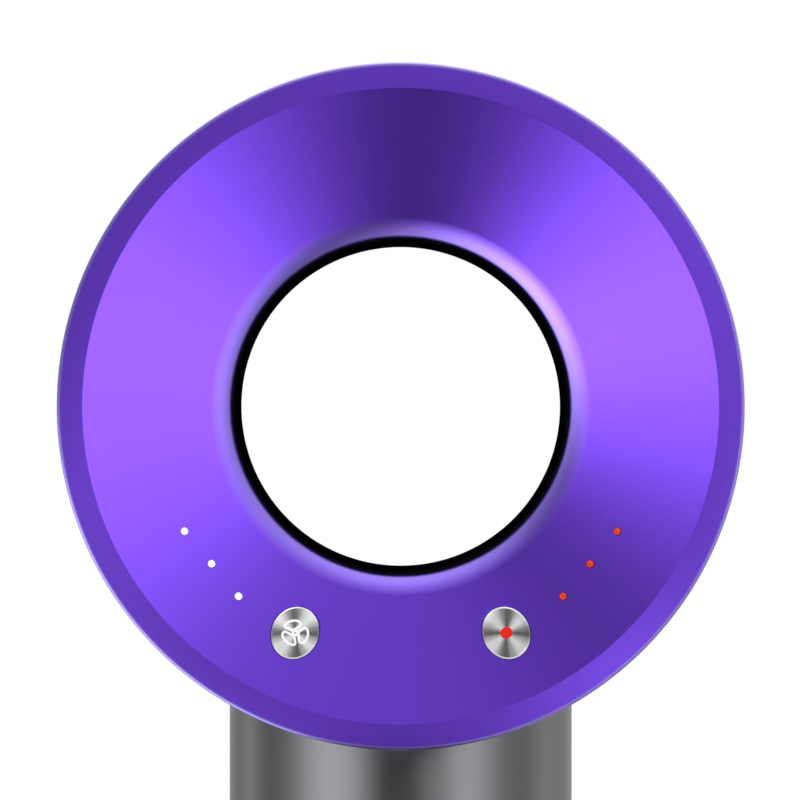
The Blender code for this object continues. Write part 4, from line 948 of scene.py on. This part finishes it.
def ribbon(points, width, low, high):
    """A flat closed band of a given width along a closed path."""
    outer = []
    inner = []
    count = len(points)
    for i, point in enumerate(points):
        here = Vector(point)
        ahead = Vector(points[(i + 1) % count]) - Vector(points[i - 1])
        side = Vector((ahead.y, -ahead.x)).normalized() * (width / 2)
        outer.append(here + side)
        inner.append(here - side)
    sides = ((outer, low), (outer, high), (inner, high), (inner, low))
    rows = [[(p.x, p.y, height) for p in path] for path, height in sides]
    return tube(rows, closed=True)


def smooth_loop(points, steps=8):
    """A closed curve through points, as a Catmull-Rom spline."""
    curve = []
    count = len(points)
    for i in range(count):
        before, start, end, after = (Vector(points[(i + k) % count]) for k in (-1, 0, 1, 2))
        for k in range(steps):
            t = k / steps
            bend = 2 * before - 5 * start + 4 * end - after
            twist = 3 * (start - end) + after - before
            curve.append(tuple(start + 0.5 * t * ((end - before) + t * (bend + t * twist))))
    return curve


FAN_HUB = 0.18
# One blade of the fan symbol: shares of its radius, and degrees round its middle
FAN_BLADE = (
    (0.3, 42.0), (0.6, 56.0), (0.88, 57.0), (1.0, 46.0), (1.0, 24.0), (1.0, 0.0),
    (1.0, -18.0), (0.92, -31.0), (0.76, -37.0), (0.52, -28.0), (0.32, -6.0),
)


def fan_symbol():
    """Three outlined blades round a small hub, printed on the speed button."""
    place = BUTTONS["speed"]
    band = (SYMBOL_STROKE, -SYMBOL_HEIGHT, SYMBOL_HEIGHT)
    reach = SYMBOL_RADIUS - SYMBOL_STROKE / 2
    shapes = [ribbon(circle(FAN_HUB * reach, 32), *band)]
    for blade in range(3):
        points = []
        for share, degrees in FAN_BLADE:
            angle = math.radians(90.0 + degrees + 120.0 * blade)
            points.append((reach * share * math.cos(angle), reach * share * math.sin(angle)))
        shapes.append(ribbon(smooth_loop(points), *band))
    symbol = mesh_object("fan_symbol", *together(*shapes), place.matrix)
    dress(symbol, "speed_button", "lens_white", finish=PRINT_WITH_PAINTED_GLOW)


def heat_dot():
    """Red enamel dot let into the heat button."""
    low = -2 * SYMBOL_HEIGHT
    high = SYMBOL_HEIGHT
    edge = 1.2 * SYMBOL_HEIGHT
    radius = HEAT_DOT_RADIUS
    corners = [(0.0, low), (radius, low), (radius, high, edge), (0.0, high)]
    dot = lathe("heat_dot", corners, SMALL_SIDES, BUTTONS["heat"].matrix)
    dress(dot, "heat_button", "lens_red", finish=RED_ENAMEL)


def indicator(name):
    """Domed lens of one indicator, set in the cover."""
    place = LENSES[name]
    depth = -COVER_WALL
    profile = [(0.0, depth), (LENS_RADIUS, depth), (LENS_RADIUS, 0.0)]
    profile += [(LENS_RADIUS * cosine, LENS_PROUD * sine) for cosine, sine in quarter(8)[1:]]
    lens = mesh_object(f"{name}_lens", *turned(profile, LENS_SIDES), place.matrix, sharp=60.0)
    dress(lens, "dryer", "lens_white" if name.startswith("speed") else "lens_red", name)


# The handle


def saddle_height(x):
    """Height at which a point of the handle meets the barrel of the head."""
    reach = HEAD_RADIUS + SADDLE_GAP
    return AXIS_Z - math.sqrt(reach * reach - x * x)


def on_grip(radius, x):
    """Distance from the handle's axis of its round front, at an offset to the side."""
    return math.sqrt(radius * radius - x * x)


def grip_tube():
    """Grip tube, trimmed to the head's barrel, with the openings of the front controls."""
    edge = FINE_EDGE
    rows = []
    for cosine, sine in quarter(5):
        rows.append((HANDLE_RADIUS - edge * (1 - sine), TUBE_LOW.z + edge * (1 - cosine), False))
    for cosine, sine in quarter(5):
        rows.append((HANDLE_RADIUS - edge * (1 - cosine), -edge * (1 - sine), True))
    rows += [(HANDLE_INNER, 0.0, True), (HANDLE_INNER, TUBE_LOW.z, False)]
    rings = []
    for radius, height, trimmed in rows:
        ring = []
        for x, y in circle(radius, HANDLE_SIDES):
            ring.append((x, y, height + saddle_height(x) if trimmed else height))
        rings.append(ring)
    grip = mesh_object("grip_tube", *tube(rings, closed=True), HANDLE)
    opening = SLIDER_HEIGHT + SLIDER_TRAVEL + 2 * GAP - SLIDER_WIDTH
    slot_middle = SLIDER_MIDDLE + SLIDER_TRAVEL / 2
    slot = grip_hole(lambda grow: stadium(SLIDER_WIDTH / 2 + GAP + grow, opening), slot_middle)
    button = grip_hole(lambda grow: circle(COOL_RADIUS + GAP + grow, SMALL_SIDES), COOL_Z)
    cut(grip, together(slot, button), GRIP_FRONT)
    true_normals(grip, round_normal)
    dress(grip, "dryer", "satin_grey", "handle_tube")


def grip_hole(outline, height):
    """Cutter for an opening in the handle's front, with a broken edge that follows its curve."""
    edge = GRIP_BREAK
    steps = [(0.0, -3 * HANDLE_WALL), (0.0, -edge), (edge, 0.0), (2 * edge, edge), (2 * edge, HANDLE_WALL)]
    return loft([[on_pad(point, height, lift) for point in outline(grow)] for grow, lift in steps])


def on_pad(point, height, lift):
    """A point on the handle's round front, from one on a flat outline and a lift off the surface."""
    x, y = point
    return (x, y - height, on_grip(HANDLE_RADIUS + lift, x))


def half_stadium(radius, straight, ends=16, sides=24):
    """Right half of an upright outline with round ends, from its lowest point to its highest."""
    points = []
    for i in range(ends + 1):
        angle = math.pi / 2 * (i / ends - 1)
        points.append((radius * math.cos(angle), radius * math.sin(angle) - straight / 2))
    for i in range(1, sides):
        if straight:
            points.append((radius, straight * (i / sides - 0.5)))
    for i in range(0 if straight else 1, ends + 1):
        angle = math.pi / 2 * i / ends
        points.append((radius * math.cos(angle), radius * math.sin(angle) + straight / 2))
    return points


def grip_pad(half_width, straight, height, face_height):
    """A control that follows the handle's curve: a wall, a rounded edge and a face with its own relief."""
    rows = [(0.0, FLANGE_OUTER - HANDLE_RADIUS - FINE_EDGE), (0.0, CONTROL_PROUD - CONTROL_EDGE)]
    for cosine, sine in quarter(8)[1:]:
        rows.append((CONTROL_EDGE * (1 - cosine), CONTROL_PROUD - CONTROL_EDGE * (1 - sine)))
    rings = []
    for inset, lift in rows:
        half = half_stadium(half_width - inset, straight)
        outline = half + [(-x, y) for x, y in half[-2:0:-1]]
        rings.append([on_pad(point, height, lift) for point in outline])
    verts, faces = tube(rings)
    faces.append(tuple(range(len(rings[0])))[::-1])
    across = 28
    grid = []
    for x, y in half_stadium(half_width - CONTROL_EDGE, straight):
        line = [(x * (2 * i / across - 1), y) for i in range(across + 1)]
        grid.append([on_pad(point, height, CONTROL_PROUD + face_height(*point)) for point in line])
    return together((verts, faces), tube(grid, wrap=False))


def grip_bar(start, end, width, height, face_height, rise, taper=0.0):
    """A low rounded bar along the handle's front, from one point of a flat outline to another."""
    start, end = Vector(start), Vector(end)
    along = (end - start).normalized()
    side = Vector((-along.y, along.x))
    length = (end - start).length
    steps = 20
    rows = []
    for k in range(steps + 1):
        middle = start.lerp(end, k / steps)
        share = 1.0
        if taper:
            near = min(k, steps - k) / steps * length
            share = math.sqrt(max(BAR_END, min(1.0, near / taper)))
        ring = []
        for turn in range(0, 181, 20):
            angle = math.radians(turn)
            point = middle + side * (width / 2 * math.cos(angle))
            lift = CONTROL_PROUD + face_height(*point)
            ring.append(on_pad(point, height, lift + rise * share * math.sin(angle)))
        for sign in (-1, 1):
            point = middle + side * (sign * width / 2)
            ring.append(on_pad(point, height, CONTROL_PROUD + face_height(*point) - rise))
        rows.append(ring)
    return loft(rows)


def shield(half_width, low, high):
    """Curved plate behind a control, which closes its opening in the handle."""
    span = math.asin(half_width / FLANGE_OUTER)
    steps = 20
    section = []
    for radius, sign in ((FLANGE_OUTER, 1), (FLANGE_INNER, -1)):
        for i in range(steps + 1):
            angle = sign * span * (2 * i / steps - 1)
            section.append((radius * math.sin(angle), radius * math.cos(angle)))
    return loft([[(x, -z, y) for x, y in section] for z in (low, high)])


def slide_switch():
    """Power slider with a ribbed thumb rest, and the plate that closes its slot."""
    straight = SLIDER_HEIGHT - SLIDER_WIDTH

    def thumb_rest(x, y):
        share = math.hypot(x, max(0.0, abs(y) - straight / 2)) / (SLIDER_WIDTH / 2 - CONTROL_EDGE)
        return -SLIDER_DISH * max(0.0, 1 - share * share) ** 2

    shapes = [grip_pad(SLIDER_WIDTH / 2, straight, SLIDER_MIDDLE, thumb_rest)]
    reach = SLIDER_WIDTH / 2 - SLIDER_RIB_INSET
    for i in range(SLIDER_RIBS):
        y = SLIDER_RIB_PITCH * (i - (SLIDER_RIBS - 1) / 2)
        rib = (SLIDER_RIB_WIDTH, SLIDER_MIDDLE, thumb_rest, SLIDER_RIB_HEIGHT, SLIDER_RIB_WIDTH)
        shapes.append(grip_bar((-reach, y), (reach, y), *rib))
    shapes.append(shield(SLIDER_WIDTH / 2 + CONTROL_FLANGE, SLIDER_LOW.z, SLIDER_HIGH.z))
    slider = mesh_object("slide_switch", *together(*shapes), GRIP_FRONT, sharp=45.0)
    dress(slider, "power_slider", "matt_black", "power_slider")


def cool_dish(x, y):
    """Depth of the cool-shot button's dished face."""
    share = min(1.0, math.hypot(x, y) / (COOL_RADIUS - CONTROL_EDGE))
    return -COOL_DISH * (1 - share * share) ** 2


def cool_shot():
    """Round cool-shot button with a dished face."""
    half = COOL_RADIUS + CONTROL_FLANGE
    pad = grip_pad(COOL_RADIUS, 0.0, COOL_Z, cool_dish)
    plate = shield(half, COOL_Z - half, COOL_Z + half)
    button = mesh_object("cool_shot", *together(pad, plate), GRIP_FRONT, sharp=45.0)
    dress(button, "cool_button", "matt_black", "cool_button")


def cool_symbol():
    """Snowflake printed on the cool-shot button."""
    shapes = []
    for arm in range(6):
        turn = Matrix.Rotation(math.tau * arm / 6, 2)
        lines = [((0.0, FLAKE_FORK), (sign * FLAKE_SIDE, FLAKE_TIP)) for sign in (-1, 1)]
        if arm < 3:
            lines.append(((0.0, -1.0), (0.0, 1.0)))
        for ends in lines:
            start, end = (turn @ Vector(point) * COOL_SYMBOL_RADIUS for point in ends)
            shapes.append(grip_bar(start, end, COOL_SYMBOL_STROKE, COOL_Z, cool_dish, SYMBOL_HEIGHT))
    symbol = mesh_object("cool_symbol", *together(*shapes), GRIP_FRONT)
    dress(symbol, "cool_button", "lens_white", finish=PRINT_WITH_PAINTED_GLOW)


# The inlet


def cage_band(*profile):
    """A turned strip of the cage along an open profile."""
    columns = CAGE_COLUMNS * CAGE_SPLIT
    return tube([[(x, y, height) for x, y in circle(radius, columns)] for radius, height in profile])


def slot_ring(column, low, high, margin, radius):
    """Points round a cell of the cage, or round the slot that lies inside it at a margin."""
    half_width = CAGE_CELL / 2 - margin
    half_height = (high - low) / 2 - margin
    corner = CAGE_SLOT_CORNER if margin else 0.0
    flat_width = half_width - corner
    flat_height = half_height - corner
    row = []
    for i in range(4 * CAGE_SPLIT):
        across, up = 2 * (i % CAGE_SPLIT) / CAGE_SPLIT - 1, -1
        for _ in range(i // CAGE_SPLIT):
            across, up = -up, across
        x, y = across * half_width, up * half_height
        over = Vector((abs(x) - flat_width, abs(y) - flat_height))
        if margin and over.x > 0 and over.y > 0:
            over = over.normalized() * corner
            x = math.copysign(flat_width + over.x, x)
            y = math.copysign(flat_height + over.y, y)
        angle = math.tau * (column + 0.5) / CAGE_COLUMNS + x / HANDLE_RADIUS
        row.append((radius * math.cos(angle), radius * math.sin(angle), (low + high) / 2 + y))
    return row


def slot_cell(column, low, high):
    """An open cell of the cage: the wall round a slot, its broken edge and its sides."""
    edge = CAGE_SLOT_BREAK
    share = BREAK_SHARE * edge
    rows = [slot_ring(column, low, high, 0.0, HANDLE_RADIUS)]
    for grow, depth in ((edge, 0.0), (share, share), (0.0, edge), (0.0, CAGE_WALL)):
        rows.append(slot_ring(column, low, high, CAGE_SLOT_MARGIN - grow, HANDLE_RADIUS - depth))
    rows.append(slot_ring(column, low, high, 0.0, CAGE_INNER))
    return tube(rows)


def closed_cell(column, low, high):
    """A closed cell of the cage, split along its borders as its neighbours are."""
    shapes = []
    shares = [k / CAGE_SPLIT for k in range(CAGE_SPLIT + 1)]
    angles = [math.tau * (column + share) / CAGE_COLUMNS for share in shares]
    heights = [low + (high - low) * share for share in shares]
    for radius in (HANDLE_RADIUS, CAGE_INNER):
        grid = [[(radius * math.cos(a), radius * math.sin(a), z) for a in angles] for z in heights]
        shapes.append(tube(grid, wrap=False))
    return together(*shapes)


def slotted_cage():
    """Filter cage: a sleeve with staggered round-cornered slots and a floor with a hole."""
    outer, inner, hole = HANDLE_RADIUS, CAGE_INNER, CAGE_FLOOR_HOLE
    edge = FINE_EDGE
    share = BREAK_SHARE * edge
    pitch = CAGE_SLOT_HEIGHT + CAGE_SLOT_BAR
    start = (CAGE_TOP - CAGE_ROWS * pitch + CAGE_SLOT_BAR) / 2 + CAGE_SLOT_RISE
    foot = []
    for cosine, sine in quarter(8):
        foot.append((outer - CAGE_ROUND * (1 - cosine), CAGE_ROUND * (1 - sine)))
    foot += [(hole + edge, 0.0), (hole, edge), (hole, CAGE_FLOOR), (inner, CAGE_FLOOR)]
    shapes = [cage_band((outer, start), *foot, (inner, start))]
    for row in range(CAGE_ROWS):
        low = start + row * pitch
        high = low + CAGE_SLOT_HEIGHT
        for column in range(CAGE_COLUMNS):
            cell = closed_cell if (column + row) % 2 else slot_cell
            shapes.append(cell(column, low, high))
        if row < CAGE_ROWS - 1:
            for radius in (outer, inner):
                shapes.append(cage_band((radius, high), (radius, low + pitch)))
    break_top = [(outer, CAGE_TOP - edge), (outer - share, CAGE_TOP - share), (outer - edge, CAGE_TOP)]
    shapes.append(cage_band((outer, high), *break_top, (inner, CAGE_TOP), (inner, high)))
    cage = mesh_object("slotted_cage", *together(*shapes), HANDLE)
    true_normals(cage, round_normal)
    dress(cage, "filter_cage", "satin_grey", "filter_cage")


def wire_screen():
    """Woven screen round the basket."""
    inner = SCREEN_OUTER - SCREEN_WALL
    low, high = SCREEN_LOW.z, SCREEN_HIGH.z
    edge = SCREEN_WALL / 3
    outline = ((inner, low), (SCREEN_OUTER, low), (SCREEN_OUTER, high), (inner, high))
    corners = [(radius, height, edge) for radius, height in outline]
    dress(lathe("wire_screen", corners, HANDLE_SIDES, HANDLE), "dryer", "filter_mesh", "filter_screen")


def basket():
    """Black basket at the foot of the handle: base, ribs, and the collar that plugs into the tube."""
    hole_radius = GLAND_BORE + GLAND_WALL + GAP
    boss = CAGE_FLOOR_HOLE - GAP
    rib_outer = SCREEN_OUTER - SCREEN_WALL - GAP
    rib_inner = rib_outer - BASKET_RIB_DEPTH
    base_low = CAGE_FLOOR + GAP
    base_top = base_low + BASKET_BASE
    collar_low = CAGE_TOP - BASKET_COLLAR_DROP
    edge = SOFT_EDGE
    base = rounded([
        (hole_radius, 0.0, edge), (boss, 0.0, edge), (boss, base_low), (rib_outer, base_low, edge),
        (rib_outer, base_top, edge), (hole_radius, base_top, edge),
    ])
    collar = rounded([
        (rib_inner, collar_low, edge), (rib_outer, collar_low, edge), (rib_outer, CAGE_TOP),
        (COLLAR_OUTER, TUBE_LOW.z + GAP), (COLLAR_OUTER, BASKET_HIGH.z, edge),
        (rib_inner, BASKET_HIGH.z, edge),
    ])
    shapes = [turned(base, HANDLE_SIDES), turned(collar, HANDLE_SIDES)]
    half_depth = (rib_outer - THIN_EDGE - rib_inner) / 2
    half_width = BASKET_RIB_WIDTH / 2
    section = rounded([
        (-half_depth, -half_width, edge), (half_depth, -half_width, edge),
        (half_depth, half_width, edge), (-half_depth, half_width, edge),
    ])
    ends = (base_top - edge, collar_low + edge)
    rows = [[(rib_inner + half_depth + x, y, height) for x, y in section] for height in ends]
    shapes += spokes(rows, BASKET_RIBS)
    dress(mesh_object("inlet_basket", *together(*shapes), HANDLE), "dryer", "matt_black", "inlet_frame")


def gland():
    """Rubber grommet of the cord entry, with ridges inside."""
    outer = GLAND_BORE + GLAND_WALL
    flange = (GLAND_HIGH.x - GLAND_LOW.x) / 2
    base_top = CAGE_FLOOR + GAP + BASKET_BASE
    seat = base_top + GAP
    edge = SOFT_EDGE
    corners = [
        (GLAND_BORE + edge, GLAND_LOW.z, edge),
        (outer, GLAND_LOW.z, edge),
        (outer, seat),
        (flange, seat, edge),
        (flange, base_top + GLAND_FLANGE_HEIGHT, edge),
        (outer - GLAND_TAPER, GLAND_HIGH.z, edge),
        (GLAND_BORE + edge, GLAND_HIGH.z, edge),
    ]
    rise = (GLAND_HIGH.z - GLAND_LOW.z) / (2 * GLAND_RIDGES + 1)
    for i in reversed(range(GLAND_RIDGES)):
        low = GLAND_LOW.z + rise * (2 * i + 1)
        corners += [
            (GLAND_BORE + edge, low + rise), (GLAND_BORE, low + 0.8 * rise),
            (GLAND_BORE, low + 0.2 * rise), (GLAND_BORE + edge, low),
        ]
    dress(lathe("cord_grommet", corners, SMALL_SIDES, HANDLE), "dryer", "grey_rubber", "cable_gland")


# The studio


CAMERA_DISTANCE = 1.9
CAMERA_LENS = 739.0
SENSOR_WIDTH = 36.0
AIM_SIDE = -0.00008
AIM_RISE = 0.00072


def set_up(name, data, location, target=None):
    """An object of the studio at a location, turned to face a target if it has one."""
    obj = bpy.data.objects.new(name, data)
    bpy.context.scene.collection.objects.link(obj)
    obj.location = location
    if target:
        obj.rotation_mode = "QUATERNION"
        obj.rotation_quaternion = (Vector(target) - obj.location).to_track_quat("-Z", "Y")
    return obj


def camera():
    """The photograph's viewpoint: straight behind the head, far away, with the handle cropped below."""
    data = bpy.data.cameras.new("camera")
    data.sensor_width = SENSOR_WIDTH
    data.lens = CAMERA_LENS
    target = (AIM_SIDE, face_axial(RIM_RADIUS), AXIS_Z + AIM_RISE)
    bpy.context.scene.camera = set_up("camera", data, (0.0, -CAMERA_DISTANCE, AXIS_Z), target)


AMBIENT = 0.62
TENT_LEVEL = 0.43
TENT_DARK = 0.05
TENT_RADIUS = 4.0
# Softboxes, and flags that take light away: degrees from the camera's side, degrees clockwise from
# the top seen from there, strength and spread in degrees
TENT_LIGHTS = (
    (45.0, 300.0, 1.4, 15.0), (55.0, 255.0, 1.35, 16.0), (43.0, 80.0, 1.55, 16.0),
    (33.0, 275.0, 0.4, 6.0), (24.0, 48.0, 3.3, 10.0), (18.0, 175.0, 1.4, 11.0),
    (93.0, 140.0, 0.55, 12.0), (120.0, 60.0, 0.45, 20.0), (142.0, 2.0, 1.35, 17.0),
    (120.0, 209.0, 1.9, 8.0), (120.0, 230.0, 1.9, 8.0), (120.0, 251.0, 2.2, 8.0),
    (112.0, 105.0, 0.6, 9.0), (2.0, 0.0, -1.9, 10.0), (52.0, 14.0, -1.0, 10.0),
    (26.0, 345.0, -1.3, 8.0), (24.0, 107.0, -1.4, 9.0), (44.0, 133.0, -0.3, 13.0),
    (90.0, 275.0, -0.1, 30.0),
)


def world():
    """White behind the object, and an even light for what isn't shiny."""
    made = bpy.data.worlds.new("studio")
    made.use_nodes = True
    tree = made.node_tree
    tree.nodes.clear()
    path = tree.nodes.new("ShaderNodeLightPath")
    sees = path.outputs["Is Camera Ray"]
    for ray in ("Is Glossy Ray", "Is Transmission Ray"):
        either = tree.nodes.new("ShaderNodeMath")
        either.operation = "MAXIMUM"
        tree.links.new(sees, either.inputs[0])
        tree.links.new(path.outputs[ray], either.inputs[1])
        sees = either.outputs[0]
    mix = tree.nodes.new("ShaderNodeMixShader")
    tree.links.new(sees, mix.inputs[0])
    for socket, strength in ((1, AMBIENT), (2, 1.0)):
        light = tree.nodes.new("ShaderNodeBackground")
        light.inputs["Color"].default_value = (1.0, 1.0, 1.0, 1.0)
        light.inputs["Strength"].default_value = strength
        tree.links.new(light.outputs[0], mix.inputs[socket])
    output = tree.nodes.new("ShaderNodeOutputWorld")
    tree.links.new(mix.outputs[0], output.inputs["Surface"])
    bpy.context.scene.world = made


def light_tent():
    """A tent of soft light round the object, which only shiny surfaces see."""
    look = Finish("light_tent")
    centre = (0.0, 0.0, AXIS_Z)
    position = look.add("NewGeometry").outputs["Position"]
    way = look.add("VectorMath", {0: position, 1: centre}, operation="SUBTRACT").outputs[0]
    way = look.add("VectorMath", {0: way}, operation="NORMALIZE").outputs[0]
    level = None
    for polar, azimuth, strength, spread in TENT_LIGHTS:
        polar, azimuth, spread = (math.radians(x) for x in (polar, azimuth, spread))
        axis = (math.sin(polar) * math.sin(azimuth), -math.cos(polar), math.sin(polar) * math.cos(azimuth))
        facing = look.add("VectorMath", {0: way, 1: axis}, operation="DOT_PRODUCT").outputs["Value"]
        falloff = look.math("MULTIPLY", look.math("SUBTRACT", facing, 1.0), 1 / (spread * spread))
        lobe = look.math("MULTIPLY", look.math("EXPONENT", falloff), strength)
        level = look.math("ADD", lobe, level if level else TENT_LEVEL)
    emission = look.add("Emission", {"Strength": look.math("MAXIMUM", level, TENT_DARK)})
    output = look.tree.nodes["Material Output"]
    look.tree.links.new(emission.outputs[0], output.inputs["Surface"])
    look.tree.nodes.remove(look.shader)
    look.material.cycles.emission_sampling = "NONE"
    bm = bmesh.new()
    bmesh.ops.create_icosphere(bm, subdivisions=4, radius=TENT_RADIUS)
    mesh = bpy.data.meshes.new("light_tent")
    bm.to_mesh(mesh)
    bm.free()
    mesh.materials.append(look.material)
    tent = set_up("light_tent", mesh, centre)
    for ray in ("camera", "diffuse", "transmission", "volume_scatter", "shadow"):
        setattr(tent, f"visible_{ray}", False)


def soft_light(name, location, size, power):
    """A soft area light for matt surfaces and the shadow on the floor."""
    data = bpy.data.lights.new(name, "AREA")
    data.shape = "DISK"
    data.size = size
    data.energy = power
    obj = set_up(name, data, location, (0.0, 0.0, AXIS_Z))
    obj.visible_glossy = False
    obj.visible_camera = False


FLOOR_DROP = 0.0525
FLOOR_RADIUS = 0.7
FLOOR_FADE = 0.35


def floor():
    """Pale floor that fades out, low enough to leave the filter cage room to come off."""
    look = Finish("pale_floor", Roughness=0.9, Specular_IOR_Level=0.0)
    _, radius = look.polar()
    look.tint(look.noise(60.0), (0.86, 0.86, 0.865), (0.88, 0.88, 0.885))
    look.drive("Alpha", look.span(radius, 1.0, 0.0, FLOOR_FADE * FLOOR_RADIUS, FLOOR_RADIUS))
    rim = [(x, y, 0.0) for x, y in circle(FLOOR_RADIUS, SMALL_SIDES)]
    mesh = bpy.data.meshes.new("floor")
    mesh.from_pydata(rim, [], [tuple(range(SMALL_SIDES))])
    mesh.materials.append(look.material)
    obj = set_up("floor", mesh, (0.0, HANDLE_Y, -FLOOR_DROP))
    obj.visible_glossy = False


for stage in (camera, world, light_tent, floor):
    stage()
soft_light("key", (-0.9, -1.3, 1.5), 1.1, 14.0)
soft_light("fill", (1.3, -0.9, 0.7), 1.2, 4.0)
soft_light("back", (0.3, 1.5, 1.2), 1.2, 5.0)

for piece in (rear_cover, head_barrel, bore_tube, outlet_ring, guide_vanes):
    piece()
for side_name in BUTTONS:
    face_button(side_name)
fan_symbol()
heat_dot()
for lens_name in LENSES:
    indicator(lens_name)
for piece in (grip_tube, slide_switch, cool_shot, cool_symbol, slotted_cage, wire_screen, basket, gland):
    piece()

bpy.context.scene.view_settings.view_transform = "Standard"
